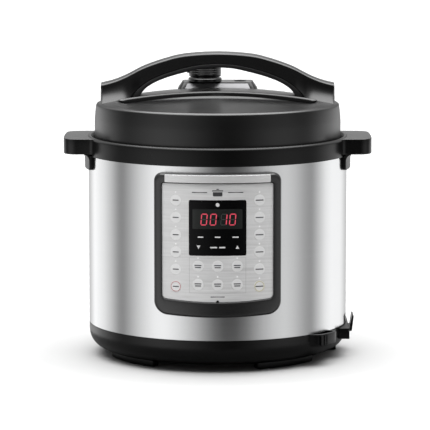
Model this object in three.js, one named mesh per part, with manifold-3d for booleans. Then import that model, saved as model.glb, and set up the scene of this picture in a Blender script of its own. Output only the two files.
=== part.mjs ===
// Electric pressure cooker, in millimetres. +Z is up, the control panel faces -Y, and the floor is z = 0.
import * as THREE from 'three';
import { mergeVertices } from 'three/addons/utils/BufferGeometryUtils.js';
import Module from 'manifold-3d';

const wasm = await Module();
wasm.setup();

// Clearances and resolution
const GAP = 0.3;
const ROUND = 48;
const INNER_ROUND = 32;
const SMALL_ROUND = 16;
const KEY_ROUND = 12;
const WELD = 1e-4;
// Cutting tools run this far past what they cut.
const BEYOND = 200;

// Heights of the main levels
const SHELL_BOTTOM = 36;
const SHELL_TOP = 230.5;
const COLLAR_BOTTOM = 221.3;
const COLLAR_TOP = 241;
const LID_BOTTOM = 239;
const LID_SHOULDER = 276.1;
const DOME_HEIGHT = 290.1;
const FLANGE_BOTTOM = 241;
const FLANGE_TOP = 243.4;
const DECK_TOP = 295;
const HANDLE_TOP = 332;

// Radii of the round pieces
const SHELL_RADIUS = 141.5;
const SHELL_WALL = 1.2;
const COLLAR_INNER = 135.2;
const COLLAR_SEAT = 141.8;
const LINER_RADIUS = 115;
const LINER_WALL = 1.4;
const POT_RADIUS = 111.5;
const POT_WALL = 1.3;
const LID_RADIUS = 134.6;
const LID_WALL = 3;

// Bayonet closure: lugs on the liner's flange and lugs under the lid
const LUG_COUNT = 6;
const LUG_HALF_ANGLE = 13;
const LUG_ROOT = 123.5;
const LUG_TIP = 128;

// Control panel
const PANEL = { halfWidth: 67, bottom: 65.2, top: 214.4, front: 151, floor: 146.3, bow: 3.2 };
const OVERLAY = { halfWidth: 58.5, bottom: 82.2, top: 204, front: 149.2, back: 147.4, bow: 3.2 };
const TRIM = { halfWidth: 55.8, bottom: 205.2, top: 213, front: 150.4 };
const WINDOW = { halfWidth: 30, bottom: 128.4, top: 187 };
const KEY = { radius: 6, front: 149.6, back: 148 };
const SIDE_KEY_X = 44;
const SIDE_KEY_PITCH = 18.3;
const SIDE_KEY_TOP = 186.5;
const SIDE_KEY_COUNT = 6;
const CENTRE_KEY_X = [-20.6, 0, 20.6];
const CENTRE_KEY_Z = [117, 97.4];

// Side handles
const SIDE_HANDLE = { tip: 168, rootHalf: 46, tipHalf: 45, bottom: 223.5, top: 240.7, corner: 12, bow: 2 };
const HANDLE_SKIN = 3;
const HANDLE_POCKET_RADIUS = 146.5;

// Lid furniture
const KNOB = { x: -14, y: 50, radius: 18 };
const FLOAT = { x: 25, y: 56 };
const HANDLE_HALF_DEPTH = 16;
const HANDLE_END = 127.2;

const material = (color, roughness, metalness = 0) =>
  new THREE.MeshStandardMaterial({ color, roughness, metalness });

const MATERIALS = {
  steel: material(0xc9cacc, 0.32, 1),
  potSteel: material(0xd6d7d8, 0.2, 1),
  silver: material(0xc4c6c8, 0.38, 0.8),
  aluminium: material(0xb4b6b8, 0.45, 1),
  black: material(0x18181a, 0.42),
  softBlack: material(0x141415, 0.6),
  bezel: material(0x3a3b3d, 0.45),
  rubber: material(0x101010, 0.9),
  silicone: material(0xd9d8d2, 0.7),
  window: material(0x08080a, 0.12),
  key: material(0xd4d5d6, 0.4, 0.3),
  board: material(0x1f5a3a, 0.6),
  clearPlastic: material(0xc8cdd2, 0.2),
};

// ---------- Geometry helpers ----------

function radians(degrees) {
  return THREE.MathUtils.degToRad(degrees);
}

function signedVolume(points, corners) {
  const [a, b, c] = [new THREE.Vector3(), new THREE.Vector3(), new THREE.Vector3()];
  let volume = 0;
  for (let i = 0; i < corners.length; i += 3) {
    a.fromArray(points, corners[i] * 3);
    b.fromArray(points, corners[i + 1] * 3);
    c.fromArray(points, corners[i + 2] * 3);
    volume += a.dot(b.cross(c)) / 6;
  }
  return volume;
}

// Turns a closed three.js geometry into a manifold solid with its faces pointing out.
function solid(geometry) {
  const bare = geometry.clone();
  bare.deleteAttribute('normal');
  bare.deleteAttribute('uv');
  const merged = mergeVertices(bare, WELD);
  const points = merged.attributes.position.array;
  const corners = [];
  const source = merged.index.array;
  for (let i = 0; i < source.length; i += 3) {
    const [a, b, c] = [source[i], source[i + 1], source[i + 2]];
    if (a !== b && b !== c && c !== a) corners.push(a, b, c);
  }
  if (signedVolume(points, corners) < 0) corners.reverse();
  const mesh = new wasm.Mesh({
    numProp: 3,
    vertProperties: Float32Array.from(points),
    triVerts: Uint32Array.from(corners),
  });
  return new wasm.Manifold(mesh);
}

function geometryOf(shape) {
  const mesh = shape.getMesh();
  const geometry = new THREE.BufferGeometry();
  geometry.setAttribute('position', new THREE.BufferAttribute(mesh.vertProperties, 3));
  geometry.setIndex(new THREE.BufferAttribute(mesh.triVerts, 1));
  geometry.computeVertexNormals();
  return geometry;
}

function join(...shapes) {
  return shapes.reduce((whole, shape) => whole.add(shape));
}

function cut(shape, ...tools) {
  return tools.reduce((rest, tool) => rest.subtract(tool), shape);
}

function common(...shapes) {
  return shapes.reduce((rest, shape) => rest.intersect(shape));
}

// A solid of revolution about Z. The profile is [radius, z] points that close on themselves.
function turned(profile, segments = ROUND) {
  const points = profile.map(([radius, z]) => new THREE.Vector2(radius, z));
  const onAxis = points[0].x === 0 && points[points.length - 1].x === 0;
  if (!onAxis) points.push(points[0].clone());
  return solid(new THREE.LatheGeometry(points, segments).rotateX(Math.PI / 2));
}

function ringWall(inner, outer, low, high, segments = ROUND) {
  return turned([[inner, low], [outer, low], [outer, high], [inner, high]], segments);
}

function disc(radius, low, high, segments = SMALL_ROUND) {
  return turned([[0, low], [radius, low], [radius, high], [0, high]], segments);
}

// A disc taller than the cooker, for cutting a bore.
function tallDisc(radius) {
  return disc(radius, -BEYOND, 2 * BEYOND, ROUND);
}

function rod(radius, low, high, x, y, segments = SMALL_ROUND) {
  return disc(radius, low, high, segments).translate([x, y, 0]);
}

function block(x0, x1, y0, y1, z0, z1) {
  const geometry = new THREE.BoxGeometry(x1 - x0, y1 - y0, z1 - z0);
  return solid(geometry.translate((x0 + x1) / 2, (y0 + y1) / 2, (z0 + z1) / 2));
}

function polygon(points) {
  return new THREE.Shape(points.map(([u, v]) => new THREE.Vector2(u, v)));
}

function roundedRect(u0, u1, v0, v1, radius) {
  const shape = new THREE.Shape();
  shape.moveTo(u0 + radius, v0);
  shape.lineTo(u1 - radius, v0);
  shape.absarc(u1 - radius, v0 + radius, radius, -Math.PI / 2, 0);
  shape.lineTo(u1, v1 - radius);
  shape.absarc(u1 - radius, v1 - radius, radius, 0, Math.PI / 2);
  shape.lineTo(u0 + radius, v1);
  shape.absarc(u0 + radius, v1 - radius, radius, Math.PI / 2, Math.PI);
  shape.lineTo(u0, v0 + radius);
  shape.absarc(u0 + radius, v0 + radius, radius, Math.PI, 1.5 * Math.PI);
  return shape;
}

function extruded(shape, depth, curveSegments = 5) {
  return new THREE.ExtrudeGeometry(shape, { depth, bevelEnabled: false, curveSegments });
}

// A shape drawn in X and Y, standing from z0 to z1.
function upright(shape, z0, z1) {
  return solid(extruded(shape, z1 - z0).translate(0, 0, z0));
}

// A shape drawn in X and Z, running from y0 to y1.
function alongY(shape, y0, y1) {
  return solid(extruded(shape, y1 - y0).rotateX(Math.PI / 2).translate(0, y1, 0));
}

// A shape drawn in Y and Z, running from x0 to x1.
function alongX(shape, x0, x1) {
  const turn = new THREE.Matrix4().makeBasis(
    new THREE.Vector3(0, 1, 0), new THREE.Vector3(0, 0, 1), new THREE.Vector3(1, 0, 0));
  return solid(extruded(shape, x1 - x0).applyMatrix4(turn).translate(x0, 0, 0));
}

// A wedge of a full circle, centred on an azimuth counted from -Y towards +X.
function sector(azimuth, halfAngle, reach, low, high) {
  const steps = 4;
  const points = [[0, 0]];
  for (let i = 0; i <= steps; i += 1) {
    const angle = radians(azimuth - halfAngle + (2 * halfAngle * i) / steps);
    points.push([reach * Math.sin(angle), -reach * Math.cos(angle)]);
  }
  return upright(polygon(points), low, high);
}

function arcWall(azimuth, halfAngle, inner, outer, low, high) {
  const wedge = sector(azimuth, halfAngle, outer * 1.3, low, high);
  return common(ringWall(inner, outer, low, high), wedge);
}

// ---------- Scene assembly ----------

const cooker = new THREE.Group();
const base = new THREE.Group();
const lid = new THREE.Group();
cooker.add(base, lid);

function addPiece(group, name, shape, finish, place = [0, 0, 0]) {
  const piece = new THREE.Mesh(geometryOf(shape), finish);
  piece.name = name;
  piece.position.set(...place);
  group.add(piece);
  return piece;
}

// ---------- Base housing ----------

const RAIL_AZIMUTHS = [-53, 39, 129, -141];
const PAD_OFFSETS = [14, -14, 14, -14];
const RAIL = { halfAngle: 18.5, inner: 112, outer: 122, low: 0.9, high: 7.4 };
const PAD = { halfAngle: 2.9, inner: 113.6, outer: 120.4, high: 3.7 };
const INLET = { x: 60, halfWidth: 17, back: 142, front: 112, bottom: 8.5, top: 33 };
const SOCKET = { halfWidth: 14, bottom: 10.5, top: 31 };

function bowlProfile() {
  const outer = [
    [0, 6], [104, 6], [122, 7.8], [133, 13.2], [139.2, 22.4], [SHELL_RADIUS, 35.7],
  ];
  const lip = [[140, 35.7], [140, 43], [137.8, 43]];
  const inner = [[137.4, 26], [131, 15.6], [121, 10.6], [104, 8.8], [0, 8.8]];
  return [...outer, ...lip, ...inner];
}

function footRails() {
  const { halfAngle, inner, outer, low, high } = RAIL;
  return RAIL_AZIMUTHS.map((azimuth) => arcWall(azimuth, halfAngle, inner, outer, low, high));
}

function padCutters() {
  const { halfAngle, inner, outer, high } = PAD;
  return RAIL_AZIMUTHS.map((azimuth, i) =>
    arcWall(azimuth + PAD_OFFSETS[i], halfAngle + GAP, inner - 0.4, outer + 0.4, -1, high + GAP));
}

function ventSlots() {
  const slots = [];
  for (let i = 0; i < 12; i += 1) {
    const slot = block(52, 84, -2.2, 2.2, 4, 12);
    slots.push(slot.rotate([0, 0, i * 30 + 15]));
  }
  return slots;
}

function linerPosts() {
  return [45, 135, 225, 315].map((angle) =>
    rod(5, 8, 43.5, 96, 0, 12).rotate([0, 0, angle]));
}

function inletHousing() {
  return block(
    INLET.x - INLET.halfWidth, INLET.x + INLET.halfWidth,
    INLET.front, INLET.back, INLET.bottom, INLET.top);
}

function socketRoom() {
  return block(
    INLET.x - SOCKET.halfWidth - GAP, INLET.x + SOCKET.halfWidth + GAP,
    INLET.front - 20, INLET.back + 5, SOCKET.bottom - GAP, SOCKET.top + GAP);
}

function baseBowl() {
  const sideLeg = block(121, 131, 3, 14, 0.9, 14);
  const body = join(turned(bowlProfile()), ...footRails(), ...linerPosts(), inletHousing(), sideLeg);
  return cut(body, ...padCutters(), ...ventSlots(), socketRoom());
}

function footPad(azimuth) {
  return arcWall(azimuth, PAD.halfAngle, PAD.inner, PAD.outer, 0, PAD.high);
}

function inletSocket() {
  const shell = block(
    INLET.x - SOCKET.halfWidth, INLET.x + SOCKET.halfWidth, 118, INLET.back, SOCKET.bottom, SOCKET.top);
  const recess = block(INLET.x - 12.2, INLET.x + 12.2, 128, INLET.back + 2, 12.4, 29.2);
  const pins = [[-7, 18.6], [7, 18.6], [0, 23]].map(([dx, z]) =>
    block(INLET.x + dx - 1, INLET.x + dx + 1, 127, 136, z - 2, z + 2));
  return join(cut(shell, recess), ...pins);
}

// The space that the bowl and the shell above it take, with a gap around them.
function bowlRoom() {
  return turned([
    [0, 5.6], [104, 5.6], [122.3, 7.5], [133.3, 12.9], [139.6, 22.2], [SHELL_RADIUS + GAP, 35.7],
    [SHELL_RADIUS + GAP, 60], [0, 60],
  ]);
}

// An open-topped pocket that curves around the bowl's front right.
function spoonHolder() {
  const wall = arcWall(52, 7.2, 138.4, 151, 23, 36);
  const pocket = arcWall(52, 6.2, 130, 148.6, 25.4, 40);
  return cut(wall, pocket, bowlRoom());
}

// A bar along the bowl's right side that carries an upright hook.
function cordHook() {
  const bar = block(126, 143.7, -48, 34, 21.8, 33.9);
  const hook = alongY(polygon([
    [143, 23], [148, 23], [150.2, 40.6], [148.4, 40.6], [146.4, 27], [143, 27],
  ]), -6, 24);
  return cut(join(bar, hook), bowlRoom());
}

// ---------- Outer shell, collar and side handles ----------

function outerShell() {
  const wall = ringWall(SHELL_RADIUS - SHELL_WALL, SHELL_RADIUS, SHELL_BOTTOM, SHELL_TOP);
  const aperture = alongY(roundedRect(-50, 50, 92, 198, 6), -BEYOND, -60);
  return cut(wall, aperture);
}

function collarRing() {
  return turned([
    [143.5, COLLAR_BOTTOM], [143.4, 236.8], [142.8, 239], [141.4, 240.5], [139.6, COLLAR_TOP],
    [138.6, 240.6], [COLLAR_INNER, 236], [COLLAR_INNER, 234], [118, 233.4], [118, 231],
    [COLLAR_SEAT, 231], [COLLAR_SEAT, COLLAR_BOTTOM],
  ]);
}

// The plan of the right side handle, from inside the collar out to a slightly bowed tip.
function handlePlan(inset) {
  const { tip, rootHalf, tipHalf, corner, bow } = SIDE_HANDLE;
  const edge = tip - bow - inset;
  const half = tipHalf - inset;
  const shape = new THREE.Shape();
  shape.moveTo(120, -rootHalf + inset);
  shape.lineTo(edge - corner, -half);
  shape.quadraticCurveTo(edge, -half, edge, -half + corner);
  shape.quadraticCurveTo(edge + 2 * bow, 0, edge, half - corner);
  shape.quadraticCurveTo(edge, half, edge - corner, half);
  shape.lineTo(120, rootHalf - inset);
  return shape;
}

function mirrored(shape) {
  return shape.mirror([1, 0, 0]);
}

function handlePocket() {
  const plan = upright(handlePlan(HANDLE_SKIN), SIDE_HANDLE.bottom - 1, SIDE_HANDLE.top - HANDLE_SKIN);
  return cut(plan, tallDisc(HANDLE_POCKET_RADIUS));
}

function topCollar() {
  const shellRoom = disc(COLLAR_SEAT, COLLAR_BOTTOM - 20, 231, ROUND);
  const plan = upright(handlePlan(0), SIDE_HANDLE.bottom, SIDE_HANDLE.top);
  const handle = cut(plan, tallDisc(COLLAR_INNER), shellRoom, handlePocket());
  return join(collarRing(), handle, mirrored(handle));
}

// Closes a handle's hollow from below, with a tab that hangs down against the shell.
function handleUnderside() {
  const { bottom } = SIDE_HANDLE;
  const pocketEdge = HANDLE_POCKET_RADIUS + GAP;
  const plan = upright(handlePlan(HANDLE_SKIN + GAP), bottom + 0.4, bottom + 2.6);
  const plate = cut(plan, tallDisc(pocketEdge));
  const tab = arcWall(90, 18, SHELL_RADIUS + 0.6, SHELL_RADIUS + 4.1, 206, COLLAR_BOTTOM - GAP);
  const shelf = arcWall(90, 13, SHELL_RADIUS + 4, pocketEdge + 3, 216, COLLAR_BOTTOM - GAP);
  const riser = arcWall(90, 13, pocketEdge, pocketEdge + 3, 216, bottom + 2.6);
  return join(plate, tab, shelf, riser);
}

// ---------- Control panel ----------

function panelSlab(shape, inner, outer) {
  return common(alongY(shape, -BEYOND, -60), ringWall(inner, outer, 40, 230));
}

// The panel's lower edge bows down towards the middle.
function bowedPanel(halfWidth, bottom, top, bow, radius) {
  const shape = new THREE.Shape();
  shape.moveTo(-halfWidth, top - radius);
  shape.lineTo(-halfWidth, bottom + radius);
  shape.quadraticCurveTo(-halfWidth, bottom, -halfWidth + radius, bottom - bow * 0.3);
  shape.quadraticCurveTo(0, bottom - bow * 1.6, halfWidth - radius, bottom - bow * 0.3);
  shape.quadraticCurveTo(halfWidth, bottom, halfWidth, bottom + radius);
  shape.lineTo(halfWidth, top - radius);
  shape.quadraticCurveTo(halfWidth, top, halfWidth - radius, top);
  shape.lineTo(-halfWidth + radius, top);
  shape.quadraticCurveTo(-halfWidth, top, -halfWidth, top - radius);
  return shape;
}

function overlayShape(grow) {
  const { halfWidth, bottom, top, bow } = OVERLAY;
  return bowedPanel(halfWidth + grow, bottom - grow, top + grow, bow, 4);
}

function trimShape(grow) {
  const { halfWidth, bottom, top } = TRIM;
  return roundedRect(-halfWidth - grow, halfWidth + grow, bottom - grow, top + grow, 1.5);
}

function windowShape(grow) {
  const { halfWidth, bottom, top } = WINDOW;
  return roundedRect(-halfWidth - grow, halfWidth + grow, bottom - grow, top + grow, 2);
}

function controlBezel() {
  const { halfWidth, bottom, top, front, floor, bow } = PANEL;
  const slab = panelSlab(bowedPanel(halfWidth, bottom, top, bow, 12), SHELL_RADIUS + GAP, front);
  const tray = panelSlab(overlayShape(GAP), floor, front + 5);
  const trimTray = panelSlab(trimShape(GAP), floor, front + 5);
  const displayHole = alongY(roundedRect(-27, 27, 131.5, 184.5, 2), -BEYOND, -60);
  return cut(slab, tray, trimTray, displayHole);
}

// Places a shape made around -Y at radius 0 so that it faces out at a key's place.
function atPanel(shape, x, z, radius) {
  const azimuth = THREE.MathUtils.radToDeg(Math.asin(x / radius));
  return shape.rotate([0, 0, azimuth]).translate([0, 0, z]);
}

function keyDisc(radius, front, back) {
  const cylinder = new THREE.CylinderGeometry(radius, radius, front - back, KEY_ROUND);
  return solid(cylinder.translate(0, -(front + back) / 2, 0));
}

function keyPlaces() {
  const places = [];
  for (let row = 0; row < SIDE_KEY_COUNT; row += 1) {
    const z = SIDE_KEY_TOP - row * SIDE_KEY_PITCH;
    places.push({ name: `key_left_${row + 1}`, x: -SIDE_KEY_X, z });
    places.push({ name: `key_right_${row + 1}`, x: SIDE_KEY_X, z });
  }
  CENTRE_KEY_Z.forEach((z, row) => {
    CENTRE_KEY_X.forEach((x, column) => {
      places.push({ name: `key_centre_${row * CENTRE_KEY_X.length + column + 1}`, x, z });
    });
  });
  return places;
}

function keypadOverlay() {
  const sheet = panelSlab(overlayShape(0), OVERLAY.back, OVERLAY.front);
  const windowHole = alongY(windowShape(GAP), -BEYOND, -60);
  const keyHoles = keyPlaces().map(({ x, z }) =>
    atPanel(keyDisc(KEY.radius + GAP, 160, 140), x, z, OVERLAY.front));
  return cut(sheet, windowHole, ...keyHoles);
}

function controlBoard() {
  return join(
    block(-48, 48, -130.6, -129, 95, 195),
    block(-8, 8, -129.2, -123, 100, 112),
    block(20, 40, -129.2, -124, 150, 162));
}

function powerBoard() {
  return join(
    block(-50, 50, -95, -35, 14, 15.6),
    block(-44, -24, -90, -72, 15.4, 34),
    block(-16, 6, -88, -66, 15.4, 30),
    block(14, 44, -90, -60, 15.4, 26),
    rod(6, 15.4, 33, -32, -55, 16));
}

// ---------- Heating and pressure vessel ----------

function lugRing(low, high) {
  const lugs = [];
  for (let i = 0; i < LUG_COUNT; i += 1) {
    lugs.push(arcWall((i * 360) / LUG_COUNT, LUG_HALF_ANGLE, LUG_ROOT - 1, LUG_TIP, low, high));
  }
  return lugs;
}

function linerPot() {
  const inner = LINER_RADIUS - LINER_WALL;
  const wall = turned([
    [20, 44], [LINER_RADIUS - 6, 44], [LINER_RADIUS, 50], [LINER_RADIUS, FLANGE_BOTTOM],
    [LUG_ROOT, FLANGE_BOTTOM], [LUG_ROOT, FLANGE_TOP], [inner, FLANGE_TOP],
    [inner, 50.6], [LINER_RADIUS - 6.6, 45.4], [20, 45.4],
  ]);
  return join(wall, ...lugRing(FLANGE_BOTTOM, FLANGE_TOP));
}

function innerPot() {
  const inner = POT_RADIUS - POT_WALL;
  return turned([
    [0, 60], [POT_RADIUS - 8, 60], [POT_RADIUS, 68], [POT_RADIUS, 243.7], [121.2, 243.7],
    [121.2, 245.2], [inner, 245.2], [inner, 68.4], [inner - 7.4, 61.3], [0, 61.3],
  ]);
}

function heatingPlate() {
  const profile = [[16, 47], [92, 47], [98, 50], [100, 56], [98, 59.6], [16, 59.6]];
  return turned(profile, INNER_ROUND);
}

function thermalSensor() {
  const profile = [[0, 36], [3.5, 36], [3.5, 54.4], [14, 54.4], [14, 59], [13, 59.6], [0, 59.6]];
  return turned(profile, SMALL_ROUND);
}

// A compression spring around the sensor's stem.
function sensorSpring() {
  const turns = 3;
  const steps = 36;
  const radius = 7;
  const rise = 6.7;
  const points = [];
  for (let i = 0; i <= steps; i += 1) {
    const share = i / steps;
    const angle = share * turns * 2 * Math.PI;
    points.push(new THREE.Vector3(radius * Math.cos(angle), radius * Math.sin(angle), 46.5 + share * rise));
  }
  const section = new THREE.Shape().absarc(0, 0, 0.6, 0, 2 * Math.PI);
  return solid(new THREE.ExtrudeGeometry(section, {
    steps, curveSegments: 3, bevelEnabled: false, extrudePath: new THREE.CatmullRomCurve3(points),
  }));
}

function pressureSwitch() {
  const housing = block(-62, -34, 34, 48, 32, 43.6);
  const bracket = block(-66, -30, 38, 44, 30, 32.2);
  const plunger = block(-52, -44, 39, 43, 24, 31);
  return join(housing, bracket, plunger);
}

// ---------- Condensation cup ----------

const CUP = { halfWidth: 31, bottom: 152, top: 214, back: 155, wall: 1.8 };

function condensationCup() {
  const { halfWidth, bottom, top, back, wall } = CUP;
  const start = SHELL_RADIUS - 20;
  const near = SHELL_RADIUS + 2 * GAP;
  const outline = roundedRect(-halfWidth, halfWidth, bottom, top, 4);
  const body = cut(alongY(outline, start, back), tallDisc(near));
  const room = block(-halfWidth + wall, halfWidth - wall, start, back - wall, bottom + wall, top + 5);
  return cut(body, cut(room, tallDisc(near + wall)));
}

// ---------- Lid ----------

// Outer skin of the lid, raised by a margin. Its top is a shallow dome.
function domeProfile(margin) {
  const outer = LID_RADIUS + margin;
  const side = [[0, 230], [outer, 230], [outer, 257], [outer - 0.7, 268], [outer - 1.8, LID_SHOULDER - 2.4]];
  const edge = LID_RADIUS - 4.6;
  const curve = (DOME_HEIGHT - LID_SHOULDER - 0.4) / edge ** 2;
  const height = (radius) => DOME_HEIGHT - curve * radius ** 2 + margin;
  const top = [edge, 105, 75, 40, 0].map((radius) => [radius, height(radius)]);
  return [...side, ...top];
}

function lidRoom() {
  const inner = LID_RADIUS - LID_WALL;
  const roof = domeProfile(-LID_WALL - 0.5).slice(6);
  const side = [[0, 220], [inner, 220], [inner, 256], [inner - 1, 266], [inner - 6, 271]];
  return turned([...side, ...roof]);
}

// A shallow step down to the front part of the lid's top.
const SCOOP = { y: -30, high: 284.8, frontY: -140, low: 275.1 };

function frontScoop() {
  const { y, high, frontY, low } = SCOOP;
  const outline = polygon([[y, high], [y, BEYOND * 2], [frontY, BEYOND * 2], [frontY, low]]);
  return alongX(outline, -BEYOND, BEYOND);
}

const PIPE_HOLE = 5.5;
const FLOAT_HOLE = 7;
const SCREW_HOLE = 2.4;
const SCREW_X = [-112, 112];

function valveHoles() {
  return [rod(PIPE_HOLE, 260, 310, KNOB.x, KNOB.y), rod(FLOAT_HOLE, 260, 310, FLOAT.x, FLOAT.y)];
}

function screwHoles(high) {
  return SCREW_X.map((x) => rod(SCREW_HOLE, 260, high, x, 0, 12));
}

function lidCover() {
  const below = disc(BEYOND, LID_BOTTOM - 20, LID_BOTTOM);
  const skin = cut(turned(domeProfile(0)), frontScoop(), lidRoom(), below);
  return cut(skin, ...valveHoles(), ...screwHoles(300));
}

function valveDeck() {
  const front = polygon([
    [-45, 276], [45, 276], [44, 286], [39, DECK_TOP], [-39, DECK_TOP], [-44, 286],
  ]);
  const side = polygon([[36, 276], [39, 286], [43, DECK_TOP], [73, DECK_TOP], [78, 276]]);
  const plateau = common(alongY(front, 38.6, 76), alongX(side, -60, 60));
  return cut(plateau, turned(domeProfile(GAP)), ...valveHoles());
}

// The handle's top and underside are smooth curves through a few heights, from the middle outwards.
const HANDLE_TOP_LINE = [
  [0, HANDLE_TOP], [41, 329], [58, 324.5], [72, 320], [91.5, 311], [110, 302.3], [HANDLE_END, 297.8],
];
const HANDLE_PARTING_LINE = [
  [0, 319.6], [35, 314.6], [57, 308.6], [74, 302], [85, 295], [93, 286], [99, 272],
];
const HANDLE_UNDER_LINE = [
  [0, 315.6], [35, 310.4], [57, 304], [74, 296.8], [82, 290], [85.5, 284], [87, 272],
];
const HANDLE_SAMPLES = 24;
const FOOT_BOTTOM = 272;

// Half of a foot's outline in Y and Z: it spreads as it nears the lid.
const FOOT_FLARE = [[29, FOOT_BOTTOM], [24, 284], [HANDLE_HALF_DEPTH, 298]];

function sampled(line, count, lift = 0) {
  const points = line.map(([x, z]) => new THREE.Vector2(x, z + lift));
  const otherHalf = points.slice(1).map((p) => new THREE.Vector2(-p.x, p.y)).reverse();
  const curve = new THREE.SplineCurve([...otherHalf, ...points]);
  return curve.getPoints(count).map((p) => [p.x, p.y]);
}

function handleTop() {
  const top = sampled(HANDLE_TOP_LINE, HANDLE_SAMPLES);
  const under = sampled(HANDLE_PARTING_LINE, HANDLE_SAMPLES, GAP).reverse();
  const outline = [...top, [HANDLE_END, FOOT_BOTTOM], ...under, [-HANDLE_END, FOOT_BOTTOM]];
  const arch = alongY(polygon(outline), -HANDLE_HALF_DEPTH, HANDLE_HALF_DEPTH);
  const farSide = FOOT_FLARE.map(([y, z]) => [-y, z]).reverse();
  const flare = polygon([...FOOT_FLARE, ...farSide]);
  const feet = [[-HANDLE_END, -100], [100, HANDLE_END]].map(([x0, x1]) => alongX(flare, x0, x1));
  const limit = alongY(polygon([...top, [HANDLE_END, 260], [-HANDLE_END, 260]]), -40, 40);
  const body = common(join(arch, ...feet), limit);
  return cut(body, turned(domeProfile(GAP)), ...screwHoles(292));
}

function handleGrip() {
  const above = sampled(HANDLE_PARTING_LINE, HANDLE_SAMPLES);
  const under = sampled(HANDLE_UNDER_LINE, HANDLE_SAMPLES).reverse();
  const halfDepth = HANDLE_HALF_DEPTH - 0.8;
  const strip = alongY(polygon([...above, ...under]), -halfDepth, halfDepth);
  return cut(strip, turned(domeProfile(GAP)));
}

function innerLid() {
  const dome = turned([
    [0, 262], [60, 261], [106, 256], [124, 256], [129, 254], [130.4, 250], [130.4, 237.5],
    [128.7, 237.5], [128.7, 249], [127, 252.6], [122, 253.8], [105.6, 253.8], [60, 258.8], [0, 259.8],
  ]);
  const lugs = [];
  for (let i = 0; i < LUG_COUNT; i += 1) {
    lugs.push(arcWall((i * 360) / LUG_COUNT, LUG_HALF_ANGLE, LUG_ROOT + 0.4, 129, 237.5, 240.6));
  }
  const holes = [rod(4.5, 240, 280, KNOB.x, KNOB.y), rod(3.4, 240, 280, FLOAT.x, FLOAT.y)];
  return cut(join(dome, ...lugs), ...holes);
}

function sealingRing() {
  return turned([
    [112.6, 245.6], [119.6, 245.6], [121.2, 247.4], [121.2, 252.6], [112, 252.6],
    [112, 251], [117.4, 250.4], [117.4, 247.6], [112.6, 247.2],
  ], ROUND);
}

function sealRack() {
  return turned([[108.6, 249], [110.8, 249], [110.8, 251.2], [108.6, 251.2]], INNER_ROUND);
}

function steamPipe() {
  return turned([
    [2, 254], [4.1, 254], [4.1, 262.6], [9, 262.6], [9, 266], [4.1, 266], [4.1, 304], [3, 306], [2, 306],
  ], SMALL_ROUND);
}

function antiBlockShield() {
  const cup = turned([
    [0, 244.6], [10.5, 244.6], [11.5, 246], [11.5, 255], [10, 255], [10, 246.6], [0, 246.6],
  ], SMALL_ROUND);
  const slots = [0, 60, 120].map((angle) => block(-14, 14, -1.2, 1.2, 248, 252.4).rotate([0, 0, angle]));
  return cut(cup, ...slots);
}

function valveKnob() {
  const { radius } = KNOB;
  const body = turned([
    [0, 310], [4.6, 310], [4.6, DECK_TOP + 0.5], [radius + 0.6, DECK_TOP + 0.5], [radius + 0.6, 300],
    [radius - 1.6, 301.6], [radius - 0.2, 303.4], [radius - 0.2, 316.6], [radius - 2, 319], [0, 319],
  ], 32);
  const lug = block(-radius - 2, -radius + 3, -3, 3, 304.5, 309.5);
  return join(body, lug);
}

function floatValve() {
  return turned([
    [0, 252.3], [2.6, 252.3], [2.6, 288.4], [5.6, 288.4], [5.6, 290.6], [4.6, 291.2], [0, 291.2],
  ], SMALL_ROUND);
}

function floatCap() {
  return turned([[0, 248], [5, 248], [6.4, 249.4], [6.4, 252], [0, 252]], SMALL_ROUND);
}

function lockSlider() {
  return join(block(0, 34, -4, 4, 264.6, 266.8), block(26, 30, -4, 4, 266.6, 271));
}

function handleScrew() {
  const profile = [[0, 269.6], [4.2, 269.6], [4.2, 272.6], [2, 273], [2, 288], [0, 289.4]];
  return turned(profile, SMALL_ROUND);
}

// ---------- The cooker ----------

function addBase() {
  addPiece(base, 'base_bowl', baseBowl(), MATERIALS.softBlack);
  RAIL_AZIMUTHS.forEach((azimuth, i) => {
    addPiece(base, `foot_pad_${i + 1}`, footPad(azimuth + PAD_OFFSETS[i]), MATERIALS.rubber);
  });
  addPiece(base, 'inlet_socket', inletSocket(), MATERIALS.black);
  addPiece(base, 'spoon_holder', spoonHolder(), MATERIALS.softBlack);
  addPiece(base, 'cord_hook', cordHook(), MATERIALS.softBlack);
  addPiece(base, 'outer_shell', outerShell(), MATERIALS.steel);
  addPiece(base, 'top_collar', topCollar(), MATERIALS.black);
  addPiece(base, 'handle_underside_right', handleUnderside(), MATERIALS.black);
  addPiece(base, 'handle_underside_left', mirrored(handleUnderside()), MATERIALS.black);
}

function addPanel() {
  addPiece(base, 'control_bezel', controlBezel(), MATERIALS.bezel);
  const trim = panelSlab(trimShape(0), PANEL.floor + GAP, TRIM.front);
  const window = panelSlab(windowShape(0), OVERLAY.back, OVERLAY.front);
  addPiece(base, 'bezel_trim', trim, MATERIALS.silver);
  addPiece(base, 'keypad_overlay', keypadOverlay(), MATERIALS.silver);
  addPiece(base, 'display_window', window, MATERIALS.window);
  addPiece(base, 'display_module', block(-26, 26, -143, -131, 136, 183), MATERIALS.black);
  addPiece(base, 'control_board', controlBoard(), MATERIALS.board);
  keyPlaces().forEach(({ name, x, z }) => {
    const key = keyDisc(KEY.radius, KEY.front, KEY.back);
    addPiece(base, name, atPanel(key, x, z, OVERLAY.front), MATERIALS.key);
  });
}

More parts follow.
